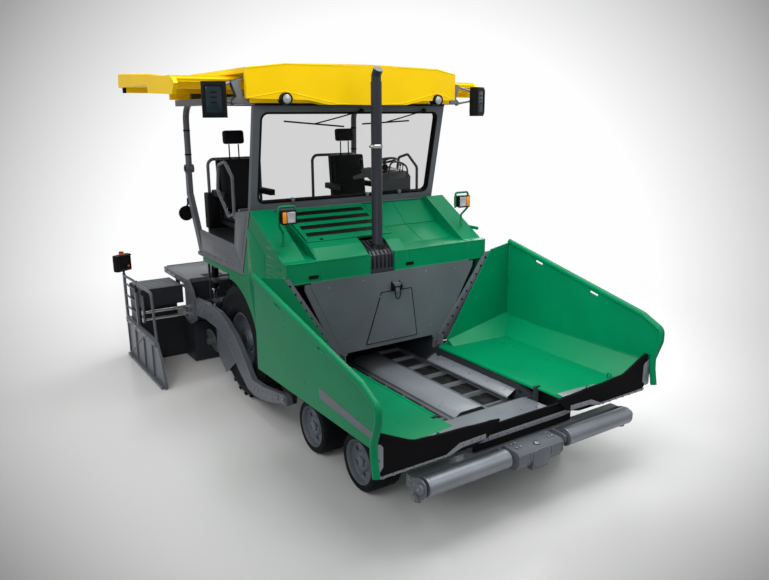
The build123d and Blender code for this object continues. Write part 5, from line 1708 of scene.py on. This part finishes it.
        # Valve, handle and bracket of the extinguisher.
        valve = Bench.rod("valve", (*self.bottle, 2.04), (*self.bottle, 2.085), 0.016, 0.003)
        handle = Bench.block("handle", (-1.49, 0.285, 2.08), (-1.38, 0.315, 2.092), 0.003)
        strap = Bench.spun("strap", [(0.0745, 0.0), (0.0785, 0.0), (0.0785, 0.03), (0.0745, 0.03)],
                           (*self.bottle, 1.86), "Z", 36)
        arm = Bench.block("bracket", (-1.585, 0.285, 1.858), (-1.54, 0.315, 1.892), 0.003)
        self.put(Bench.join("extinguisher_valve", [valve, handle, strap, arm]), ZINC)


# ---------------------- screed, tow arms and rear
@dataclass
class Screed(Group):
    """Walkway, sides, extensions, end gates and tow arms of the screed, and the rear wall's fittings."""

    deck: tuple[Flat, Flat] = ((-3.07, -1.24), (-2.09, 1.24))
    gate_y: float = -1.88
    side_y: float = -1.276
    remote: Flat = (-2.93, -1.875)
    tow_pin: Flat = (0.74, 0.43)
    lift_top: Point = (-1.64, -1.03, 1.5)
    lift_eye: Point = (-1.79, -1.03, 0.62)
    barrel: float = 0.418
    wall_x: float = -1.55

    def build(self) -> None:
        """Makes the screed's fine parts."""
        self.walkway()
        self.sides()
        self.extensions()
        self.gates()
        self.remotes()
        self.tow_arms()
        self.rear()

    def walkway(self) -> None:
        """Tread plates and vents of the walkway."""
        # Tread plates of the walkway with raised bars in alternate directions.
        (x0, y0), (x1, y1) = self.deck
        plates = [Bench.block("plate", (x0 + 0.01, a + 0.004, 1.148), (x1 - 0.01, b - 0.004, 1.1525), 0.0015)
                  for a, b in ((y0 + 0.006, -0.42), (-0.42, 0.42), (0.42, y1 - 0.006))]
        bar = Bench.block("bar", (-0.016, -0.0035, 0.0), (0.016, 0.0035, 0.0035), 0.0016)
        places = []
        for i in range(24):
            for j in range(62):
                turn = math.radians(45.0 if (i + j) % 2 else -45.0)
                spot = (x0 + 0.035 + 0.0395 * i, y0 + 0.035 + 0.0389 * j, 1.1515)
                places.append(Matrix.Translation(spot) @ Matrix.Rotation(turn, 4, "Z"))
        self.put(Bench.join("deck_tread", plates + [Bench.copies("bars", bar, places)]), LIGHT, "screed")
        # Dark slotted vents and hatch handles in the walkway.
        made = []
        for y in (-0.9, 0.9):
            for k in range(5):
                x = -2.26 + 0.034 * k
                made.append(Bench.block("vent", (x, y - 0.13, 1.15), (x + 0.016, y + 0.13, 1.1565), 0.002))
        for y in (-0.5, 0.35):
            made.append(Bench.pipe("handle", [(-2.92, y, 1.152), (-2.92, y, 1.176), (-2.92, y + 0.12, 1.176),
                                              (-2.92, y + 0.12, 1.152)], 0.006))
        self.put(Bench.join("deck_vents", made), BLACK, "screed")

    def sides(self) -> None:
        """Side panels of the screed with their bolts."""
        # Upper panel, raised frame and a field of studs on the screed's side plate.
        y = self.side_y
        panel = Bench.sheet("screed_side_right", [
            (-2.15, 1.085), (-3.05, 1.085), (-3.05, 1.138), (-2.075, 1.138)], "Y", y - 0.006, y + 0.001,
                            0.003)
        frame = Bench.sheet("frame", [(-1.87, 0.66), (-1.87, 0.92), (-1.925, 1.005), (-2.06, 1.045),
                                      (-2.17, 1.045), (-2.17, 0.59), (-2.02, 0.59)], "Y", y - 0.005,
                            y + 0.001, 0.003)
        Bench.framed(frame, RIGHTWARD, 0.02, (0.016, 0.0), (0.004, -0.004))
        spots = [Matrix.Translation((-2.11 + 0.045 * i, y - 0.001, 0.86 + 0.045 * j)) for i in range(4)
                 for j in range(4)]
        stud = Bench.rod("stud", (0.0, -0.003, 0.0), (0.0, 0.001, 0.0), 0.013, 0.0015, 16)
        self.pair(Bench.join("screed_side_right", [panel, frame, Bench.copies("studs", stud, spots)]), GREY,
                  "screed")
        spots = [(-2.95 + 0.2 * k, y - 0.006, 1.1115) for k in range(5)]
        spots += [(x, y - 0.005, z) for x, z in (
            (-1.885, 0.7), (-1.885, 0.9), (-2.155, 0.61), (-2.155, 1.03))]
        self.pair(Bench.bolts("screed_side_bolts_right", spots, RIGHTWARD, 0.011), ZINC, "screed")

    def extensions(self) -> None:
        """Guide nuts and covers of the extensions."""
        # Nuts that hold the guide tubes in the extension's bracket.
        made = [Bench.spun("collar", [(0.002, 0.0), (0.038, 0.0), (0.038, -0.014), (0.03, -0.02),
                                      (0.002, -0.02)], (x, -1.85, z), "Y", 30) for x, z in GUIDES]
        self.pair(Bench.join("guide_nuts_right", made), ZINC, "extension_right")
        # Slotted cover on top of the extension, ribs at its outer end and a plate on its rear.
        made = [Bench.block("extension_lids_right", (-2.74, -1.835, 1.048), (-2.208, -1.312, 1.06), 0.004)]
        for x in (-2.735, -2.545):
            made.append(Bench.block("rib", (x, -1.856, 0.06), (x + 0.03, -1.848, 0.54), 0.003))
        for k in range(6):
            x = -2.7 + 0.08 * k
            made.append(Bench.block("slot", (x, -1.76, 1.058), (x + 0.03, -1.4, 1.0635), 0.003))
        made.append(Bench.block("side", (-2.85, -1.7, 0.15), (-2.842, -0.62, 0.5), 0.003))
        self.pair(Bench.join("extension_lids_right", made), GREY, "extension_right")

    def gates(self) -> None:
        """Ribs, bolts, step and crank of the end gates."""
        # Stiffening ribs, slotted rail and edge of the end gate.
        y = self.gate_y
        made = [Bench.sheet("end_gate_ribs_right", [
            (-2.915, 0.47), (-2.93, 0.54), (-1.575, 0.54), (-1.545, 0.5), (-1.56, 0.47)], "Y", y - 0.014,
                            y + 0.001, 0.003)]
        for x in (-2.86, -2.48, -2.1, -1.72):
            made.append(Bench.sheet("rib", [(x, 0.055), (x + 0.016, 0.055), (x + 0.016, 0.475), (x, 0.475)],
                                    "Y", y - 0.018, y + 0.001, 0.003))
        made.append(Bench.sheet("brace", [(-2.82, 0.07), (-2.78, 0.07), (-2.13, 0.45), (-2.17, 0.45)], "Y",
                                y - 0.008, y + 0.001, 0.002))
        for z in (0.7, 0.86, 1.02):
            made.append(Bench.rod("rung", (-2.93, y + 0.015, z), (-2.375, y + 0.015, z), 0.012, 0.002, 16))
        self.pair(Bench.join("end_gate_ribs_right", made), GREY, "extension_right")
        spots = [(x, y - 0.014, 0.505) for x in (-2.86, -2.64, -2.42, -2.2, -1.98, -1.76, -1.62)]
        spots += [(x, y - 0.04, 0.0225) for x in (-2.7, -2.2, -1.7)]
        self.pair(Bench.bolts("end_gate_bolts_right", spots, RIGHTWARD, 0.011), ZINC, "extension_right")
        # Folded step with toothed tread on the end gate's inner side, and the height spindle with its crank.
        y = self.gate_y + 0.03
        made = [Bench.block("end_gate_step_right", (-3.03, y - 0.01, 0.33), (-2.96, y + 0.22, 0.35), 0.003)]
        made.append(Bench.block("arm", (-3.03, y - 0.01, 0.3), (-2.935, y + 0.004, 0.35), 0.003))
        for k in range(7):
            made.append(Bench.block("tooth", (-3.026, y + 0.02 + 0.028 * k, 0.349),
                                    (-2.966, y + 0.03 + 0.028 * k, 0.354), 0.001))
        x, axis = -2.378, self.gate_y + 0.015
        made.append(Bench.rod("spindle", (x, axis, 0.99), (x, axis, 1.085), 0.014))
        made.append(Bench.pipe("crank", [(x, axis, 1.08), (x, axis, 1.105), (-2.3, axis, 1.11),
                                         (-2.29, axis, 1.17)], 0.009))
        self.pair(Bench.join("end_gate_step_right", made), DARK, "extension_right")

    def around_remote(self, piece: Piece) -> Piece:
        """Moves a piece drawn about the origin onto the remote control box."""
        return Bench.moved(piece, (*self.remote, 1.3), (0.0, 0.0, math.radians(30.0)))

    def remotes(self) -> None:
        """Faces, dials and beacons of the remote control boxes."""
        # Raised rims, keys and display on both faces of the remote control box.
        made = []
        for x0, x1 in ((0.043, 0.053), (-0.053, -0.043)):
            rim = Bench.block("remote_face_right", (x0, -0.112, -0.098), (x1, 0.112, 0.098), 0.004)
            tool = Bench.block("tool", (x0 - 0.02, -0.098, -0.084), (x1 + 0.02, 0.098, 0.084), 0.002)
            made.append(Bench.carve(rim, [tool]))
        for row in range(3):
            for column in range(4):
                y, z = -0.066 + 0.044 * column, -0.056 + 0.04 * row
                made.append(Bench.block("key", (-0.05, y - 0.014, z - 0.011), (-0.042, y + 0.014, z + 0.011),
                                        0.003))
        made.append(Bench.block("display", (-0.049, -0.08, 0.05), (-0.043, 0.08, 0.08), 0.002))
        made.append(Bench.block("hood", (0.04, -0.12, 0.092), (0.06, 0.12, 0.108), 0.005))
        self.pair(self.around_remote(Bench.join("remote_face_right", made)), PLASTIC, "extension_right")
        knob = Bench.rod("remote_knob_right", (0.042, 0.06, -0.05), (0.058, 0.06, -0.05), 0.014, 0.003)
        self.pair(self.around_remote(knob), ORANGE, "extension_right")
        profile = [(0.001, 0.05), (0.02, 0.046), (0.031, 0.034), (0.0335, 0.01), (0.0335, 0.0), (0.001, 0.0)]
        self.pair(Bench.spun("beacon_right", profile, (*self.remote, 1.412), "Z", 32), ORANGE,
                  "extension_right")

    def tow_arms(self) -> None:
        """Flanges, bolts and pin caps of the tow arms, and the glands of the lift cylinders."""
        # Flange along the upper edge of the tow arm and the boss at its front.
        upper = ((-1.88, 0.93), (-1.5, 0.956), (-1.23, 0.952), (-1.01, 0.944), (-0.808, 0.891),
                 (-0.546, 0.766), (-0.277, 0.556), (-0.12, 0.408), (-0.074, 0.383), (0.197, 0.393),
                 (0.6, 0.458))
        lower = ((0.56, 0.333), (0.129, 0.238), (-0.06, 0.218), (-0.228, 0.243), (-0.474, 0.395),
                 (-0.784, 0.625), (-1.063, 0.725), (-1.476, 0.748))
        made = [bar for route in (upper, lower) for bar in Bench.chain(-1.246, route, 0.0085, 0.001, 14)]
        x, z = self.tow_pin
        profile = [(0.036, 0.0), (0.058, 0.0), (0.058, -0.006), (0.052, -0.01), (0.036, -0.01)]
        made.append(Bench.spun("boss", profile, (x, -1.251, z), "Y", 40))
        made.append(Bench.sheet("shield", [
            (0.59, 0.386), (0.46, 0.36), (0.25, 0.3), (0.18, 0.3), (0.18, 0.345), (0.48, 0.42),
            (0.59, 0.446)], "Y", -1.256, -1.25, 0.002))
        self.pair(Bench.join("tow_arm_edges_right", made), GREY, "screed")
        spots = [(x, -1.252, z) for x, z in (
            (0.56, 0.4), (0.42, 0.35), (0.05, 0.31), (-0.06, 0.3), (-0.6, 0.62), (-0.68, 0.69), (-1.15, 0.84),
            (-1.3, 0.85), (-1.6, 0.84), (-1.75, 0.83))]
        self.pair(Bench.bolts("tow_arm_bolts_right", spots, RIGHTWARD, 0.013), ZINC, "screed")
        disc = Bench.rod("tow_pin_cap_right", (x, -1.262, z), (x, -1.272, z), 0.031, 0.003)
        nut = Bench.bolts("nut", [(x, -1.272, z)], RIGHTWARD, 0.013)
        self.pair(Bench.join("tow_pin_cap_right", [disc, nut]), ZINC)
        # Polished gland at the end of a lift cylinder's barrel.
        top = Vector(self.lift_top)
        along = (Vector(self.lift_eye) - top).normalized()
        model = Bench.spun("lift_gland_right", [
            (0.0235, 0.0), (0.047, 0.0), (0.047, 0.022), (0.036, 0.03), (0.0235, 0.03)], (0.0, 0.0, 0.0), "Z",
                           36)
        turn = along.to_track_quat("Z", "Y").to_matrix().to_4x4()
        self.pair(Bench.copies("lift_gland_right", model,
                               [Matrix.Translation(top + along * self.barrel) @ turn]), CHROME,
                  "lift_barrel_right")

    def rear(self) -> None:
        """Rear edge of the walkway, and the door and lights of the wall in front of it."""
        # Toe rail and folded rear edge of the walkway.
        made = [Bench.block("screed_rear_rail", (-3.07, -1.236, 1.1), (-3.06, 1.236, 1.16), 0.003)]
        made += [Bench.block("foot", (-3.07, y - 0.03, 0.86), (-3.04, y + 0.03, 1.104), 0.004)
                 for y in (-1.1, -0.4, 0.4, 1.1)]
        made.append(Bench.block("step", (-3.07, -1.16, 0.846), (-2.93, 1.16, 0.866), 0.004))
        self.put(Bench.join("screed_rear_rail", made), GREY, "screed")
        spots = [(-3.066, -1.14 + 0.285 * k, 1.13) for k in range(9)]
        self.put(Bench.bolts("screed_rear_bolts", spots, BACKWARD, 0.009), ZINC, "screed")
        # Service door with louvres in the machine's rear wall, under the operator's floor.
        x = self.wall_x
        door = Bench.block("rear_door", (x - 0.008, -0.52, 0.94), (x + 0.001, 0.52, 1.52), 0.004)
        Bench.framed(door, BACKWARD, 0.1, (0.03, 0.0), (0.006, 0.004))
        slats = [Bench.sheet("slat", [(x - 0.02, 1.05 + 0.055 * k), (x - 0.006, 1.086 + 0.055 * k),
                                      (x - 0.006, 1.05 + 0.055 * k)], "Y", -0.43, 0.43, 0.001)
                 for k in range(7)]
        self.put(Bench.join("rear_door", [door, *slats]), GREY)
        # Red tail lamp on the rear wall of the operator's stand.
        self.pair(Bench.block("tail_lamp_right", (-1.634, -1.06, 1.78), (-1.618, -0.9, 1.84), 0.006), RED)


GROUPS: tuple[type[Group], ...] = (Wheels, Hopper, PushBeam, Bodywork, Screen, Roof, Stand, Screed)


def main() -> None:
    """Builds the studio and every sub-assembly in order."""
    logging.basicConfig(level=logging.INFO, format="%(name)s: %(message)s")
    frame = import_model()
    dress_carried(frame["nodes"])
    Studio().build()
    for group in GROUPS:
        group().build()
    LOG.info("%d pieces placed", Group.placed)
    bpy.context.view_layer.update()


if __name__ == "__main__":
    main()
